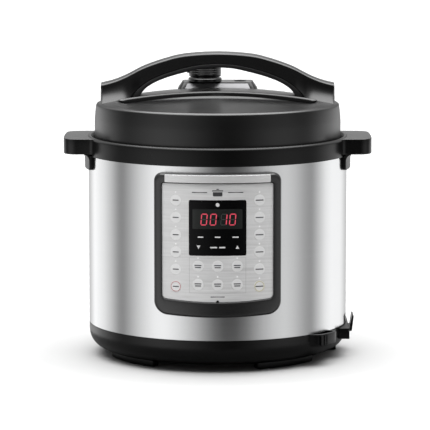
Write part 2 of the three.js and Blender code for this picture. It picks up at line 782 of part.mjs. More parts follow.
function addHeater() {
  addPiece(base, 'liner_pot', linerPot(), MATERIALS.aluminium);
  addPiece(base, 'inner_pot', innerPot(), MATERIALS.potSteel);
  addPiece(base, 'heating_plate', heatingPlate(), MATERIALS.aluminium);
  addPiece(base, 'thermal_sensor', thermalSensor(), MATERIALS.aluminium);
  addPiece(base, 'sensor_spring', sensorSpring(), MATERIALS.steel);
  addPiece(base, 'pressure_switch', pressureSwitch(), MATERIALS.black);
  addPiece(base, 'power_board', powerBoard(), MATERIALS.board);
  addPiece(base, 'condensation_cup', condensationCup(), MATERIALS.clearPlastic);
}

function addLid() {
  addPiece(lid, 'lid_cover', lidCover(), MATERIALS.black);
  addPiece(lid, 'valve_deck', valveDeck(), MATERIALS.black);
  addPiece(lid, 'handle_top', handleTop(), MATERIALS.black);
  addPiece(lid, 'handle_grip', handleGrip(), MATERIALS.softBlack);
  addPiece(lid, 'inner_lid', innerLid(), MATERIALS.potSteel);
  addPiece(lid, 'sealing_ring', sealingRing(), MATERIALS.silicone);
  addPiece(lid, 'seal_rack', sealRack(), MATERIALS.steel);
  addPiece(lid, 'steam_pipe', steamPipe(), MATERIALS.steel, [KNOB.x, KNOB.y, 0]);
  addPiece(lid, 'anti_block_shield', antiBlockShield(), MATERIALS.steel, [KNOB.x, KNOB.y, 0]);
  addPiece(lid, 'valve_knob', valveKnob(), MATERIALS.black, [KNOB.x, KNOB.y, 0]);
  addPiece(lid, 'float_valve', floatValve(), MATERIALS.steel, [FLOAT.x, FLOAT.y, 0]);
  addPiece(lid, 'float_cap', floatCap(), MATERIALS.silicone, [FLOAT.x, FLOAT.y, 0]);
  addPiece(lid, 'lock_slider', lockSlider(), MATERIALS.softBlack, [FLOAT.x + 12, FLOAT.y, 0]);
  addPiece(lid, 'handle_screw_left', handleScrew(), MATERIALS.steel, [SCREW_X[0], 0, 0]);
  addPiece(lid, 'handle_screw_right', handleScrew(), MATERIALS.steel, [SCREW_X[1], 0, 0]);
}

addBase();
addPanel();
addHeater();
addLid();

export default cooker;
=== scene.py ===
"""Electric pressure cooker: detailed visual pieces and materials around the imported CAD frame."""
import bpy
import bmesh
import math
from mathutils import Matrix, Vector


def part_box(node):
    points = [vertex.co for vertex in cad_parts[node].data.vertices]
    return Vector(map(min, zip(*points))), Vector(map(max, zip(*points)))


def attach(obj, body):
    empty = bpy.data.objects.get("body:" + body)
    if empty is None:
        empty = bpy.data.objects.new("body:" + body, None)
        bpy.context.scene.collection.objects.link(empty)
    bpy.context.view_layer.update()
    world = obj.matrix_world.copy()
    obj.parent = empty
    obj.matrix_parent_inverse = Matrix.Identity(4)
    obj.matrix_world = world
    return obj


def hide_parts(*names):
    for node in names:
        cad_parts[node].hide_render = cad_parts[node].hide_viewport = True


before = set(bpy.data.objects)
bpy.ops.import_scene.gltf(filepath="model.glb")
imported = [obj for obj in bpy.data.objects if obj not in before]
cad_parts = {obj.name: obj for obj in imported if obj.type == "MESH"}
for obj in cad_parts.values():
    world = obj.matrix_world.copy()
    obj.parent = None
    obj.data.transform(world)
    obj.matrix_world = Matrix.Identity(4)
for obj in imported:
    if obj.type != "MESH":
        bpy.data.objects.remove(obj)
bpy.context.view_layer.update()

MM = 0.001
ROUND = 192

# ---------------------------------------------------------------- dimensions, in millimetres

shell_low, shell_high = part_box("outer_shell")
SHELL_RADIUS = shell_high.x / MM
SHELL_BOTTOM = shell_low.z / MM
SHELL_TOP = shell_high.z / MM
LID_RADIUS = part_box("lid_cover")[1].x / MM
LID_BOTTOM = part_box("lid_cover")[0].z / MM
DOME_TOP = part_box("lid_cover")[1].z / MM
DOME_CURVE = 0.000805
SHOULDER = 276.1
SCOOP_EDGE = -30.0
STEP_ROUNDING = 2.6
LIP_HEIGHT = 1.5
HANDLE_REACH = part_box("handle_top")[1].x / MM
HANDLE_HALF_DEPTH = 16.0
FOOT_HALF_DEPTH = 24.5
DECK_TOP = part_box("valve_deck")[1].z / MM
KNOB_LOW, KNOB_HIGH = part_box("valve_knob")
KNOB_X = -14.0
KNOB_Y = 50.0
FLOAT_X = 25.0
FLOAT_Y = 56.0
TIP_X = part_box("top_collar")[1].x / MM
COLLAR_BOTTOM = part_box("top_collar")[0].z / MM
PANEL_FRONT = -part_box("control_bezel")[0].y / MM
OVERLAY_FRONT = -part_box("keypad_overlay")[0].y / MM
OVERLAY_BOTTOM = 82.2
OVERLAY_TOP = 204.0
OVERLAY_HALF = 58.5
KEY_RADIUS = 6.0


# ---------------------------------------------------------------- materials

def material(name, colour, roughness, metallic=0.0, gloss=0.5):
    """A new Principled material: returns it with its node tree and shader."""
    made = bpy.data.materials.new(name)
    made.use_nodes = True
    shader = made.node_tree.nodes["Principled BSDF"]
    shader.inputs["Base Color"].default_value = (*colour, 1.0)
    shader.inputs["Roughness"].default_value = roughness
    shader.inputs["Metallic"].default_value = metallic
    shader.inputs["Specular IOR Level"].default_value = gloss
    return made, made.node_tree, shader


def add_node(tree, kind, inputs, **settings):
    """A new node. Each input is a value, or another node's output to link from."""
    made = tree.nodes.new(f"ShaderNode{kind}")
    for name, value in settings.items():
        setattr(made, name, value)
    for name, value in inputs.items():
        if isinstance(value, bpy.types.NodeSocket):
            tree.links.new(value, made.inputs[name])
        else:
            made.inputs[name].default_value = value
    return made


def object_noise(tree, scale, detail=3.0, stretch=(1.0, 1.0, 1.0)):
    """Noise over object coordinates, in metres, stretched along an axis where asked."""
    place = add_node(tree, "TexCoord", {}).outputs["Object"]
    vector = add_node(tree, "Mapping", {"Vector": place, "Scale": stretch}).outputs["Vector"]
    return add_node(tree, "TexNoise", {"Vector": vector, "Scale": scale, "Detail": detail}).outputs["Fac"]


def vary_roughness(tree, shader, source, low, high):
    """Drives the roughness from a noise source, between two values."""
    limits = {"Value": source, "From Min": 0.3, "From Max": 0.7, "To Min": low, "To Max": high}
    tree.links.new(add_node(tree, "MapRange", limits).outputs["Result"], shader.inputs["Roughness"])


def vary_colour(tree, shader, source, tone, darker, lighter):
    """Drives the base colour from a noise source, between two multiples of the tone."""
    ramp = add_node(tree, "ValToRGB", {"Fac": source})
    for element, place, share in zip(ramp.color_ramp.elements, (0.3, 0.7), (darker, lighter)):
        element.position = place
        element.color = (*[min(1.0, share * c) for c in tone], 1.0)
    tree.links.new(ramp.outputs["Color"], shader.inputs["Base Color"])


def add_bump(tree, shader, source, depth):
    bump = add_node(tree, "Bump", {"Height": source, "Distance": depth, "Strength": 1.0})
    tree.links.new(bump.outputs["Normal"], shader.inputs["Normal"])


def moulded_plastic(name, grey, roughness, gloss=0.3, grain=1800.0, depth=0.00002):
    """Black or grey moulded plastic with a fine spark-eroded grain and faint handling marks."""
    tone = (grey, grey, grey * 1.03)
    made, tree, shader = material(name, tone, roughness, 0.0, gloss)
    marks = object_noise(tree, 22.0, 4.0)
    vary_roughness(tree, shader, marks, roughness - 0.01, roughness + 0.01)
    vary_colour(tree, shader, marks, tone, 0.95, 1.05)
    add_bump(tree, shader, object_noise(tree, grain, 2.0), depth)
    return made


def brushed_metal(name, tone, roughness, stretch, depth=0.000001, spread=0.015, anisotropy=0.7, metallic=1.0,
                  streak_scale=900.0, contrast=0.015):
    """Metal or film brushed in level lines. The stretch is small along the lines and 1 across them."""
    made, tree, shader = material(name, tone, roughness, metallic)
    shader.inputs["Anisotropic"].default_value = anisotropy
    shader.inputs["Anisotropic Rotation"].default_value = 0.25
    tangent = add_node(tree, "Tangent", {}, direction_type="RADIAL", axis="Z")
    tree.links.new(tangent.outputs["Tangent"], shader.inputs["Tangent"])
    lines = object_noise(tree, 2600.0, 4.0, stretch)
    streaks = object_noise(tree, streak_scale, 3.0, stretch)
    vary_roughness(tree, shader, streaks, roughness - spread, roughness + spread)
    vary_colour(tree, shader, streaks, tone, 1 - contrast, 1 + contrast)
    add_bump(tree, shader, lines, depth)
    return made


def polished_metal(name, tone, roughness):
    made, tree, shader = material(name, tone, roughness, 1.0)
    vary_roughness(tree, shader, object_noise(tree, 60.0, 4.0), roughness * 0.8, roughness * 1.3)
    return made


def make_silicone():
    made, tree, shader = material("silicone", (0.42, 0.41, 0.38), 0.55)
    shader.inputs["Subsurface Weight"].default_value = 0.15
    shader.inputs["Subsurface Radius"].default_value = (0.004, 0.004, 0.003)
    add_bump(tree, shader, object_noise(tree, 900.0, 2.0), 0.00002)
    return made


def dark_glass(name, colour, gloss, scale, low, high):
    """Glossy dark plastic with a faint haze, its roughness between low and high."""
    made, tree, shader = material(name, colour, (low + high) / 2, 0.0, gloss)
    vary_roughness(tree, shader, object_noise(tree, scale, 3.0), low, high)
    return made


def glowing(name, colour, strength):
    made, _, shader = material(name, tuple(0.3 * c for c in colour), 0.3)
    shader.inputs["Emission Color"].default_value = (*colour, 1.0)
    shader.inputs["Emission Strength"].default_value = strength
    return made


def printed(name, colour, roughness=0.5):
    made, tree, shader = material(name, colour, roughness)
    vary_colour(tree, shader, object_noise(tree, 1500.0, 2.0), colour, 0.85, 1.1)
    return made


def make_clear_plastic():
    made, tree, shader = material("frosted_plastic", (0.75, 0.79, 0.82), 0.25)
    shader.inputs["Transmission Weight"].default_value = 0.7
    shader.inputs["IOR"].default_value = 1.49
    add_bump(tree, shader, object_noise(tree, 700.0, 2.0), 0.00002)
    return made


STEEL = brushed_metal("brushed_steel", (0.68, 0.685, 0.69), 0.2, (0.02, 0.02, 1.0), 0.0000004, 0.01)
TRIM_SILVER = brushed_metal("trim_silver", (0.5, 0.5, 0.5), 0.36, (0.03, 0.03, 1.0), 0.000001, 0.02, 0.4, 0.5)
OVERLAY_SILVER = brushed_metal("overlay_silver", (0.5, 0.5, 0.5), 0.5, (0.04, 0.04, 1.0), 0.000006, 0.08,
                               0.4, 0.5, streak_scale=520.0, contrast=0.09)
POT_STEEL = polished_metal("pot_steel", (0.72, 0.72, 0.73), 0.16)
WIRE_STEEL = polished_metal("wire_steel", (0.66, 0.66, 0.67), 0.22)
ALUMINIUM = polished_metal("cast_aluminium", (0.55, 0.56, 0.57), 0.42)
LID_BLACK = moulded_plastic("lid_black", 0.001, 0.29, 0.5)
HANDLE_BLACK = moulded_plastic("handle_black", 0.0012, 0.25, 0.5)
GRIP_BLACK = moulded_plastic("grip_black", 0.005, 0.33, 0.5, 1400.0, 0.00003)
HANDLE_SIDE_BLACK = moulded_plastic("handle_side_black", 0.001, 0.22, 0.3)
COLLAR_BLACK = moulded_plastic("collar_black", 0.0008, 0.28, 0.26)
TEXTURED_BLACK = moulded_plastic("textured_black", 0.005, 0.42, 0.6, 1100.0, 0.0001)
BOWL_BLACK = moulded_plastic("bowl_black", 0.001, 0.24, 0.28)
BEZEL_GREY = moulded_plastic("bezel_grey", 0.004, 0.26, 0.6)
DECK_BLACK = moulded_plastic("deck_black", 0.002, 0.25, 0.5)
# A light grey finish used only for a painted highlight: the valve plateau's front facet, lighter in place of
# its reflection of the overhead light.
DECK_PAINTED_HIGHLIGHT = moulded_plastic("deck_face_painted_highlight", 0.25, 0.5, 0.4)
RUBBER = moulded_plastic("foot_rubber", 0.003, 0.8, 0.3, 900.0, 0.00006)
SILICONE = make_silicone()
WINDOW = dark_glass("window_gloss", (0.001, 0.001, 0.0012), 0.15, 90.0, 0.08, 0.14)
LENS = dark_glass("display_lens", (0.008, 0.009, 0.0085), 0.25, 120.0, 0.13, 0.2)
RED_GLOW = glowing("segment_red", (1.0, 0.09, 0.15), 0.42)
DIM_SEGMENT = printed("segment_off", (0.015, 0.018, 0.017), 0.4)
WHITE_INK = printed("white_ink", (0.42, 0.42, 0.42))
DARK_INK = printed("dark_ink", (0.02, 0.02, 0.022))
LABEL_INK = printed("label_ink", (0.04, 0.04, 0.043))
LAMP_INK = printed("lamp_ink", (0.66, 0.66, 0.66))
LINE_INK = printed("line_ink", (0.27, 0.27, 0.27))
RED_INK = printed("red_ink", (0.36, 0.16, 0.16))
GOLD_INK = printed("gold_ink", (0.38, 0.35, 0.2))
KEY_SILVER = brushed_metal("key_silver", (0.57, 0.57, 0.57), 0.5, (1.0, 1.0, 1.0), 0.000001, 0.03, 0.0, 0.4)
CLEAR = make_clear_plastic()
BOARD_GREEN = printed("solder_mask", (0.02, 0.13, 0.06), 0.35)


# ---------------------------------------------------------------- mesh tools

def add_piece(name, points, faces, finish, body, replaces=(), sharp=32.0, slot=None):
    """Makes a mesh object from points in millimetres, mends its normals, and puts it on a CAD body."""
    mesh = bpy.data.meshes.new(name)
    mesh.from_pydata([[c * MM for c in point] for point in points], [], faces)
    mesh.materials.append(finish)
    tidy_mesh(mesh, sharp)
    piece = bpy.data.objects.new(name, mesh)
    bpy.context.scene.collection.objects.link(piece)
    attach(piece, body)
    if replaces:
        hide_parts(*replaces)
    return piece


def tidy_mesh(mesh, sharp):
    """Merges doubles, points the faces out, and smooths every edge flatter than the sharp angle."""
    work = bmesh.new()
    work.from_mesh(mesh)
    bmesh.ops.remove_doubles(work, verts=work.verts, dist=2e-6)
    bmesh.ops.dissolve_degenerate(work, dist=1e-7, edges=work.edges)
    bmesh.ops.delete(work, geom=[edge for edge in work.edges if not edge.link_faces], context="EDGES")
    bmesh.ops.recalc_face_normals(work, faces=work.faces)
    limit = math.radians(sharp)
    for face in work.faces:
        face.smooth = True
    for edge in work.edges:
        edge.smooth = edge.is_manifold and edge.calc_face_angle(0.0) < limit
    work.to_mesh(mesh)
    work.free()


def cut_with(piece, cutters, how="DIFFERENCE"):
    """Takes the cutters out of the piece, exactly, and removes them."""
    for tool in cutters:
        step = piece.modifiers.new("cut", "BOOLEAN")
        step.operation = how
        step.solver = "EXACT"
        step.object = tool
    settle(piece)
    for tool in cutters:
        bpy.data.objects.remove(tool)


def settle(piece):
    """Bakes the piece's modifiers into its mesh."""
    bpy.context.view_layer.update()
    graph = bpy.context.evaluated_depsgraph_get()
    baked = bpy.data.meshes.new_from_object(piece.evaluated_get(graph))
    piece.modifiers.clear()
    old = piece.data
    piece.data = baked
    bpy.data.meshes.remove(old)
    tidy_mesh(baked, 32.0)


def cutter(name, points, faces):
    mesh = bpy.data.meshes.new(name)
    mesh.from_pydata([[c * MM for c in point] for point in points], [], faces)
    tidy_mesh(mesh, 30.0)
    made = bpy.data.objects.new(name, mesh)
    bpy.context.scene.collection.objects.link(made)
    return made


def ring_loft(rings, cap_first=True, cap_last=True, closed=True):
    """Faces between rings that have the same number of points, each ring a closed loop."""
    count = len(rings[0])
    points = [point for ring in rings for point in ring]
    faces = []
    span = count if closed else count - 1
    for level in range(len(rings) - 1):
        low = level * count
        high = low + count
        for i in range(span):
            j = (i + 1) % count
            faces.append((low + i, low + j, high + j, high + i))
    if cap_first:
        faces.append(tuple(range(count)))
    if cap_last:
        faces.append(tuple(range(len(points) - count, len(points))))
    return points, faces


def revolved(profile, steps=ROUND, centre=(0.0, 0.0), start=0.0, sweep=360.0):
    """Turns a closed (radius, z) profile about an upright axis. Profile points on the axis are merged."""
    full = sweep >= 360.0
    turns = steps if full else steps + 1
    rings = []
    for i in range(turns):
        angle = math.radians(start + sweep * i / steps)
        rings.append([
            (centre[0] + r * math.sin(angle), centre[1] - r * math.cos(angle), z) for r, z in profile])
    if full:
        rings.append(rings[0])
    return ring_loft(rings, not full, not full)


def filleted(corners, steps=5):
    """Rounds a closed outline. Each corner is (u, v, radius)."""
    points = []
    count = len(corners)
    for i, (u, v, radius) in enumerate(corners):
        here = Vector((u, v))
        before = Vector(corners[i - 1][:2]) - here
        after = Vector(corners[(i + 1) % count][:2]) - here
        if radius <= 0.0:
            points.append((u, v))
            continue
        half = before.angle(after) / 2.0
        reach = min(radius / math.tan(half), 0.49 * before.length, 0.49 * after.length)
        start = here + before.normalized() * reach
        end = here + after.normalized() * reach
        for k in range(steps + 1):
            t = k / steps
            point = start * (1 - t) ** 2 + here * 2 * t * (1 - t) + end * t ** 2
            points.append((point.x, point.y))
    return points


def rounded_box(u0, u1, v0, v1, radius, steps=5):
    return filleted([(u0, v0, radius), (u1, v0, radius), (u1, v1, radius), (u0, v1, radius)], steps)


def inset(outline, distance):
    """Moves a counter-clockwise outline inwards, square to its edges."""
    moved = []
    count = len(outline)
    for i, point in enumerate(outline):
        here = Vector(point)
        before = (here - Vector(outline[i - 1])).normalized()
        after = (Vector(outline[(i + 1) % count]) - here).normalized()
        along = (before + after).normalized()
        stretch = max(0.5, along.dot(after))
        moved.append((here.x - along.y * distance / stretch, here.y + along.x * distance / stretch))
    return moved


def round_steps(radius):
    """(inset, drop) pairs round a quarter circle, from the side wall to the flat face."""
    return [(radius * (1 - math.cos(turn)), radius * (1 - math.sin(turn))) for turn in quarter(4)]


def plate_rings(outline, low, high, round_low, round_high):
    """(outline, level) pairs for a plate whose two faces have rounded rims."""
    rings = []
    for back, drop in reversed(round_steps(round_low)):
        rings.append((inset(outline, back), low + drop))
    for back, drop in round_steps(round_high):
        rings.append((inset(outline, back), high - drop))
    return rings


def flat_plate(outline, low, high, round_low=0.0, round_high=0.0):
    """An upright plate, its outline drawn in X and Y."""
    levels = plate_rings(outline, low, high, round_low, round_high)
    return ring_loft([[(u, v, z) for u, v in ring] for ring, z in levels])


def wrapped(u, z, radius, azimuth=0.0):
    """A point on an upright cylinder: u is measured across from the azimuth, as seen square on."""
    angle = math.radians(azimuth) + math.asin(max(-1.0, min(1.0, u / radius)))
    return (radius * math.sin(angle), -radius * math.cos(angle), z)


def wrapped_plate(outline, inner, outer, azimuth=0.0, round_rim=0.5, shells=6):
    """A plate bent round the cooker, its outline drawn in u and z. Its faces are rings, so they bend."""
    centre_u = sum(p[0] for p in outline) / len(outline)
    centre_z = sum(p[1] for p in outline) / len(outline)

    def shrunk(ring, t):
        return [(centre_u + (u - centre_u) * t, centre_z + (z - centre_z) * t) for u, z in ring]

    pairs = plate_rings(outline, inner, outer, 0.0, round_rim)
    back = [(shrunk(pairs[0][0], k / shells), inner) for k in range(1, shells)]
    front = [(shrunk(pairs[-1][0], k / shells), outer) for k in range(shells - 1, 0, -1)]
    rings = [[wrapped(u, z, r, azimuth) for u, z in ring] for ring, r in [*back, *pairs, *front]]
    return ring_loft(rings)


def dense(outline, step):
    """The outline with its long level edges divided, so that it bends smoothly."""
    points = []
    for (u0, z0), (u1, z1) in zip(outline, outline[1:] + outline[:1]):
        pieces = max(1, int(abs(u1 - u0) / step))
        points += [(u0 + (u1 - u0) * k / pieces, z0 + (z1 - z0) * k / pieces) for k in range(pieces)]
    return points


def quarter(count):
    """Angles from 0 to a quarter turn, in that many steps."""
    return [math.pi / 2 * k / count for k in range(count + 1)]


def mirrored(half):
    """A closed outline from its right half, whose first and last points lie on the middle line."""
    return half + [(-u, v) for u, v in half[-2:0:-1]]


def circle(u, v, radius, count):
    """Points round a circle, counter-clockwise."""
    turns = [2 * math.pi * k / count for k in range(count)]
    return [(u + radius * math.cos(a), v + radius * math.sin(a)) for a in turns]


def about_z(points, degrees, x=0.0, y=0.0):
    """The points turned about the upright axis, then moved in plan."""
    c, s = math.cos(math.radians(degrees)), math.sin(math.radians(degrees))
    return [(x + px * c - py * s, y + px * s + py * c, z) for px, py, z in points]


def round_prism(x, y, radius, low, high, count=40):
    return ring_loft([[(u, v, z) for u, v in circle(x, y, radius, count)] for z in (low, high)])


def along_y(outline, start, end):
    """A prism from one y to another, its outline drawn in x and z."""
    return ring_loft([[(u, y, z) for u, z in outline] for y in (start, end)])


def box_mesh(x0, x1, y0, y1, z0, z1):
    corners = [(x0, y0), (x1, y0), (x1, y1), (x0, y1)]
    return ring_loft([[(x, y, z0) for x, y in corners], [(x, y, z1) for x, y in corners]])


def smooth_curve(points, count):
    """Evenly spaced samples of a Catmull-Rom curve through 2D points."""
    ends = [points[0], *points, points[-1]]
    samples = []
    spans = len(points) - 1
    for k in range(count + 1):
        place = spans * k / count
        i = min(int(place), spans - 1)
        t = place - i
        p = [Vector(ends[i + n]) for n in range(4)]
        value = 0.5 * (2 * p[1] + (p[2] - p[0]) * t + (2 * p[0] - 5 * p[1] + 4 * p[2] - p[3]) * t * t
                       + (3 * p[1] - p[0] - 3 * p[2] + p[3]) * t ** 3)
        samples.append((value.x, value.y))
    return samples


def height_on(curve, x):
    """The height of a sampled curve at a distance x from the middle."""
    x = abs(x)
    for (x0, z0), (x1, z1) in zip(curve, curve[1:]):
        if x0 <= x <= x1:
            return z0 + (z1 - z0) * (x - x0) / max(1e-9, x1 - x0)
    return curve[-1][1]


def smoothstep(low, high, value):
    t = max(0.0, min(1.0, (value - low) / (high - low)))
    return t * t * (3 - 2 * t)


def bevel(piece, width, segments=3):
    """Rounds the edges sharper than 35 degrees."""
    step = piece.modifiers.new("bevel", "BEVEL")
    step.width = width * MM
    step.segments = segments
    step.limit_method = "ANGLE"
    step.angle_limit = math.radians(35.0)
    settle(piece)


# ---------------------------------------------------------------- camera, lights and floor

def set_camera():
    camera = bpy.data.cameras.new("camera")
    camera.sensor_width = 36.0
    camera.lens = 236.5
    camera.shift_x = -0.0061
    camera.clip_end = 100.0
    holder = bpy.data.objects.new("camera", camera)
    holder.location = (0.0, -3.0814, 0.5618)
    holder.rotation_euler = (math.radians(90.0 - 7.58), 0.0, 0.0)
    bpy.context.scene.collection.objects.link(holder)
    bpy.context.scene.camera = holder
    bpy.context.scene.view_settings.view_transform = "Standard"


# Brightness of the studio round the cooker, by azimuth in degrees from the front, positive to the right.
STUDIO_BANDS = [
    (-180, 1.3), (-168, 0.6), (-158, 0.75), (-142, 1.4), (-122, 1.15), (-110, 0.8), (-98, 0.36), (-93, 0.33),
    (-85, 0.55), (-72, 0.95), (-58, 1.3), (-48, 1.35), (-36, 1.12), (-24, 0.78), (-12, 0.42), (-3, 0.2),
    (6, 0.1), (16, 0.11), (26, 0.24), (38, 0.55), (50, 0.8), (62, 0.92), (72, 0.78), (84, 0.5),
    (92, 0.38), (100, 0.7), (112, 1.2), (122, 1.35), (142, 1.25), (158, 0.75), (168, 0.6), (180, 1.3),
]
# Two factors by the sine of the elevation: one dims those bands, and one is the glow of an overhead light.
BAND_DIMMING = [(-1.0, 1.0), (-0.05, 1.0), (0.06, 0.42), (0.3, 0.6), (0.6, 1.0), (0.75, 0.8), (1.0, 0.1)]
OVERHEAD_GLOW = [(-1.0, 0.02), (-0.7, 0.015), (-0.4, 0.0), (0.66, 0.0), (0.84, 1.0), (1.0, 1.0)]
GLOW_LEVEL = 3.8


def set_studio():
    """A soft studio with tall light and dark panels, as a world that depends only on direction."""
    world = bpy.data.worlds.new("studio")
    bpy.context.scene.world = world
    world.use_nodes = True
    tree = world.node_tree
    place = add_node(tree, "TexCoord", {}).outputs["Generated"]
    x, y, z = add_node(tree, "SeparateXYZ", {"Vector": place}).outputs
    back = add_node(tree, "Math", {0: y, 1: -1.0}, operation="MULTIPLY").outputs[0]
    angle = add_node(tree, "Math", {0: x, 1: back}, operation="ARCTAN2").outputs[0]
    turn = add_node(tree, "MapRange", {"Value": angle, "From Min": -math.pi, "From Max": math.pi})
    rise = add_node(tree, "MapRange", {"Value": z, "From Min": -1.0})
    bands = add_ramp(tree, turn, [((degrees + 180) / 360, value / 2) for degrees, value in STUDIO_BANDS])
    dimming = add_ramp(tree, rise, [((sine + 1) / 2, value) for sine, value in BAND_DIMMING])
    glow = add_ramp(tree, rise, [((sine + 1) / 2, value) for sine, value in OVERHEAD_GLOW])
    light = mixed(tree, "ADD", mixed(tree, "MULTIPLY", bands, dimming),
                  mixed(tree, "MULTIPLY", glow, (GLOW_LEVEL, GLOW_LEVEL, GLOW_LEVEL, 1.0)))
    background = tree.nodes["Background"]
    tree.links.new(light, background.inputs["Color"])
    background.inputs["Strength"].default_value = 2.0


def add_ramp(tree, source, stops):
    """A grey ramp's colour, its stops given as (place, brightness) pairs."""
    made = add_node(tree, "ValToRGB", {"Fac": source.outputs["Result"]})
    elements = made.color_ramp.elements
    elements.remove(elements[-1])
    for i, (place, value) in enumerate(stops):
        element = elements.new(place) if i else elements[0]
        element.position = place
        element.color = (value, value, value, 1.0)
    return made.outputs["Color"]


def mixed(tree, how, first, second):
    return add_node(tree, "Mix", {0: 1.0, 6: first, 7: second}, data_type="RGBA", blend_type=how).outputs[2]


def set_floor():
    """A pale floor, and a dark disc that only the cooker's glossy underside sees: a painted shadow, standing
    for the shaded floor under the cooker in its reflections.
    """
    half = 15000.0
    floor = cutter("floor", [(-half, -half, 0.0), (half, -half, 0.0), (half, half, 0.0), (-half, half, 0.0)],
                   [(0, 1, 2, 3)])
    floor.data.materials.append(material("studio_floor", (0.33, 0.33, 0.33), 0.8)[0])
    floor.visible_glossy = False
    # Painted shadow: the dark disc stands for the floor's shade under the cooker, seen only in glossy
    # reflections.
    shade = cutter("floor_shade", *round_prism(0.0, 0.0, 205.0, 0.2, 0.4, 96))
    shade.data.materials.append(material("painted_floor_shadow", (0.07, 0.07, 0.07), 0.9)[0])
    shade.visible_camera = False
    shade.visible_diffuse = False
    shade.visible_shadow = False


# ---------------------------------------------------------------- base housing

RAILS = [(-53.0, 14.0), (39.0, -14.0), (129.0, 14.0), (-141.0, -14.0)]


def bowl_curve():
    """The bowl's outer curve, from its flat bottom up to the steel: a square-shouldered quarter ellipse."""
    power = 2.0 / 3.2
    points = []
    for turn in quarter(18):
        reach = math.sin(turn) ** power
        drop = math.cos(turn) ** power
        points.append((100.0 + (SHELL_RADIUS - 100.0) * reach, SHELL_BOTTOM - 0.3 - 29.7 * drop))
    return points


def arc_bar(azimuth, half, inner, outer, low, high, radius):
    section = rounded_box(inner, outer, low, high, radius, 4)
    return revolved(section, 24, start=azimuth - half, sweep=2 * half)


def make_base():
    outer = bowl_curve()
    inner = [(r - 2.4, z + 2.4) for r, z in reversed(outer[4:-1])]
    profile = [(0.0, 6.0), *outer, (140.2, 35.7), (140.2, 43.0), (137.9, 43.0), *inner, (0.0, 8.6)]
    bowl = add_piece("bowl", *revolved(profile), BOWL_BLACK, "base", ["base_bowl"])
    points, faces = flat_plate(rounded_box(52, 84, -2.2, 2.2, 2.0), 3.0, 12.0)
    cut_with(bowl, [cutter("slot", about_z(points, 30 * i + 15), faces) for i in range(12)])
    for i, (azimuth, shift) in enumerate(RAILS):
        bar = arc_bar(azimuth, 18.5, 112.0, 122.0, 0.9, 8.6, 1.0)
        rail = add_piece(f"foot_rail_{i + 1}", *bar, BOWL_BLACK, "base")
        bevel(rail, 0.8)
        pad = arc_bar(azimuth + shift, 2.9, 113.6, 120.4, 0.0, 3.7, 0.8)
        add_piece(f"rubber_pad_{i + 1}", *pad, RUBBER, "base", [f"foot_pad_{i + 1}"])
    leg = add_piece("side_leg", *box_mesh(121, 131, 3, 14, 0.9, 13), BOWL_BLACK, "base")
    bevel(leg, 0.8)
    make_inlet()
    make_spoon_holder()
    make_cord_hook()


def make_inlet():
    low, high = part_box("inlet_socket")
    x = (low.x + high.x) / 2 / MM
    back = high.y / MM
    room = box_mesh(x - 17, x + 17, 112, back - 0.2, 8.5, 33)
    housing = add_piece("inlet_housing", *room, BOWL_BLACK, "base")
    cut_with(housing, [cutter("room", *box_mesh(x - 14.3, x + 14.3, 100, back + 5, 10.2, 31.3))])
    bevel(housing, 1.0)
    socket = add_piece("inlet", *box_mesh(x - 14, x + 14, 118, back, 10.5, 31), COLLAR_BLACK, "base",
                       ["inlet_socket"])
    corners = [(-12.2, 12.4), (12.2, 12.4), (12.2, 25), (8, 29.2), (-8, 29.2), (-12.2, 25)]
    mouth = filleted([(x + u, z, 1) for u, z in corners], 3)
    cut_with(socket, [cutter("mouth", *along_y(mouth, 128.0, back + 2.0))])
    bevel(socket, 0.5, 2)
    for i, (dx, z) in enumerate([(-7, 18.6), (7, 18.6), (0, 23.0)]):
        pin = box_mesh(x + dx - 1, x + dx + 1, 127, 136, z - 2, z + 2)
        bevel(add_piece(f"inlet_pin_{i + 1}", *pin, WIRE_STEEL, "base"), 0.4, 2)


def polar_outline(points):
    """An outline in plan from (azimuth, radius) pairs."""
    return [(r * math.sin(math.radians(a)), -r * math.cos(math.radians(a))) for a, r in points]


def make_spoon_holder():
    """A pocket that grows out of the bowl. Its outlines are (azimuth, radius) pairs."""
    edge = [(43.6, 139.0), (44.6, 141.6), (45.6, 144.6), (46.8, 147.6), (48.2, 149.8), (50.0, 150.9),
            (52.0, 151.0), (54.0, 151.0), (56.0, 151.0), (57.6, 150.8), (58.5, 150.0), (59.0, 148.4),
            (59.2, 145.0), (59.3, 139.0)]
    back = [(azimuth, 139.0) for azimuth in (57.0, 54.0, 51.0, 48.0, 45.5)]
    outline = polar_outline(edge + back)
    holder = add_piece("spoon_pocket", *flat_plate(outline, 23.0, 36.0, 0.5, 0.5), BOWL_BLACK, "base",
                       ["spoon_holder"])
    room = [(46.2, 141.6), (47.0, 144.2), (48.2, 146.6), (49.6, 148.0), (52.0, 148.6), (55.0, 148.6),
            (57.0, 148.4), (57.9, 147.4), (58.1, 145.0), (58.1, 138.0), (55.0, 137.0), (51.0, 137.0),
            (46.2, 138.0)]
    cut_with(holder, [cutter("room", *flat_plate(polar_outline(room), 25.4, 44.0))])
    for i, azimuth in enumerate((47.2, 49.4, 51.0)):
        rib = revolved(rounded_box(149.0, 151.6, 24.2, 34.6, 0.4, 3), 4, start=azimuth, sweep=0.5)
        add_piece(f"spoon_pocket_rib_{i + 1}", *rib, BOWL_BLACK, "base")


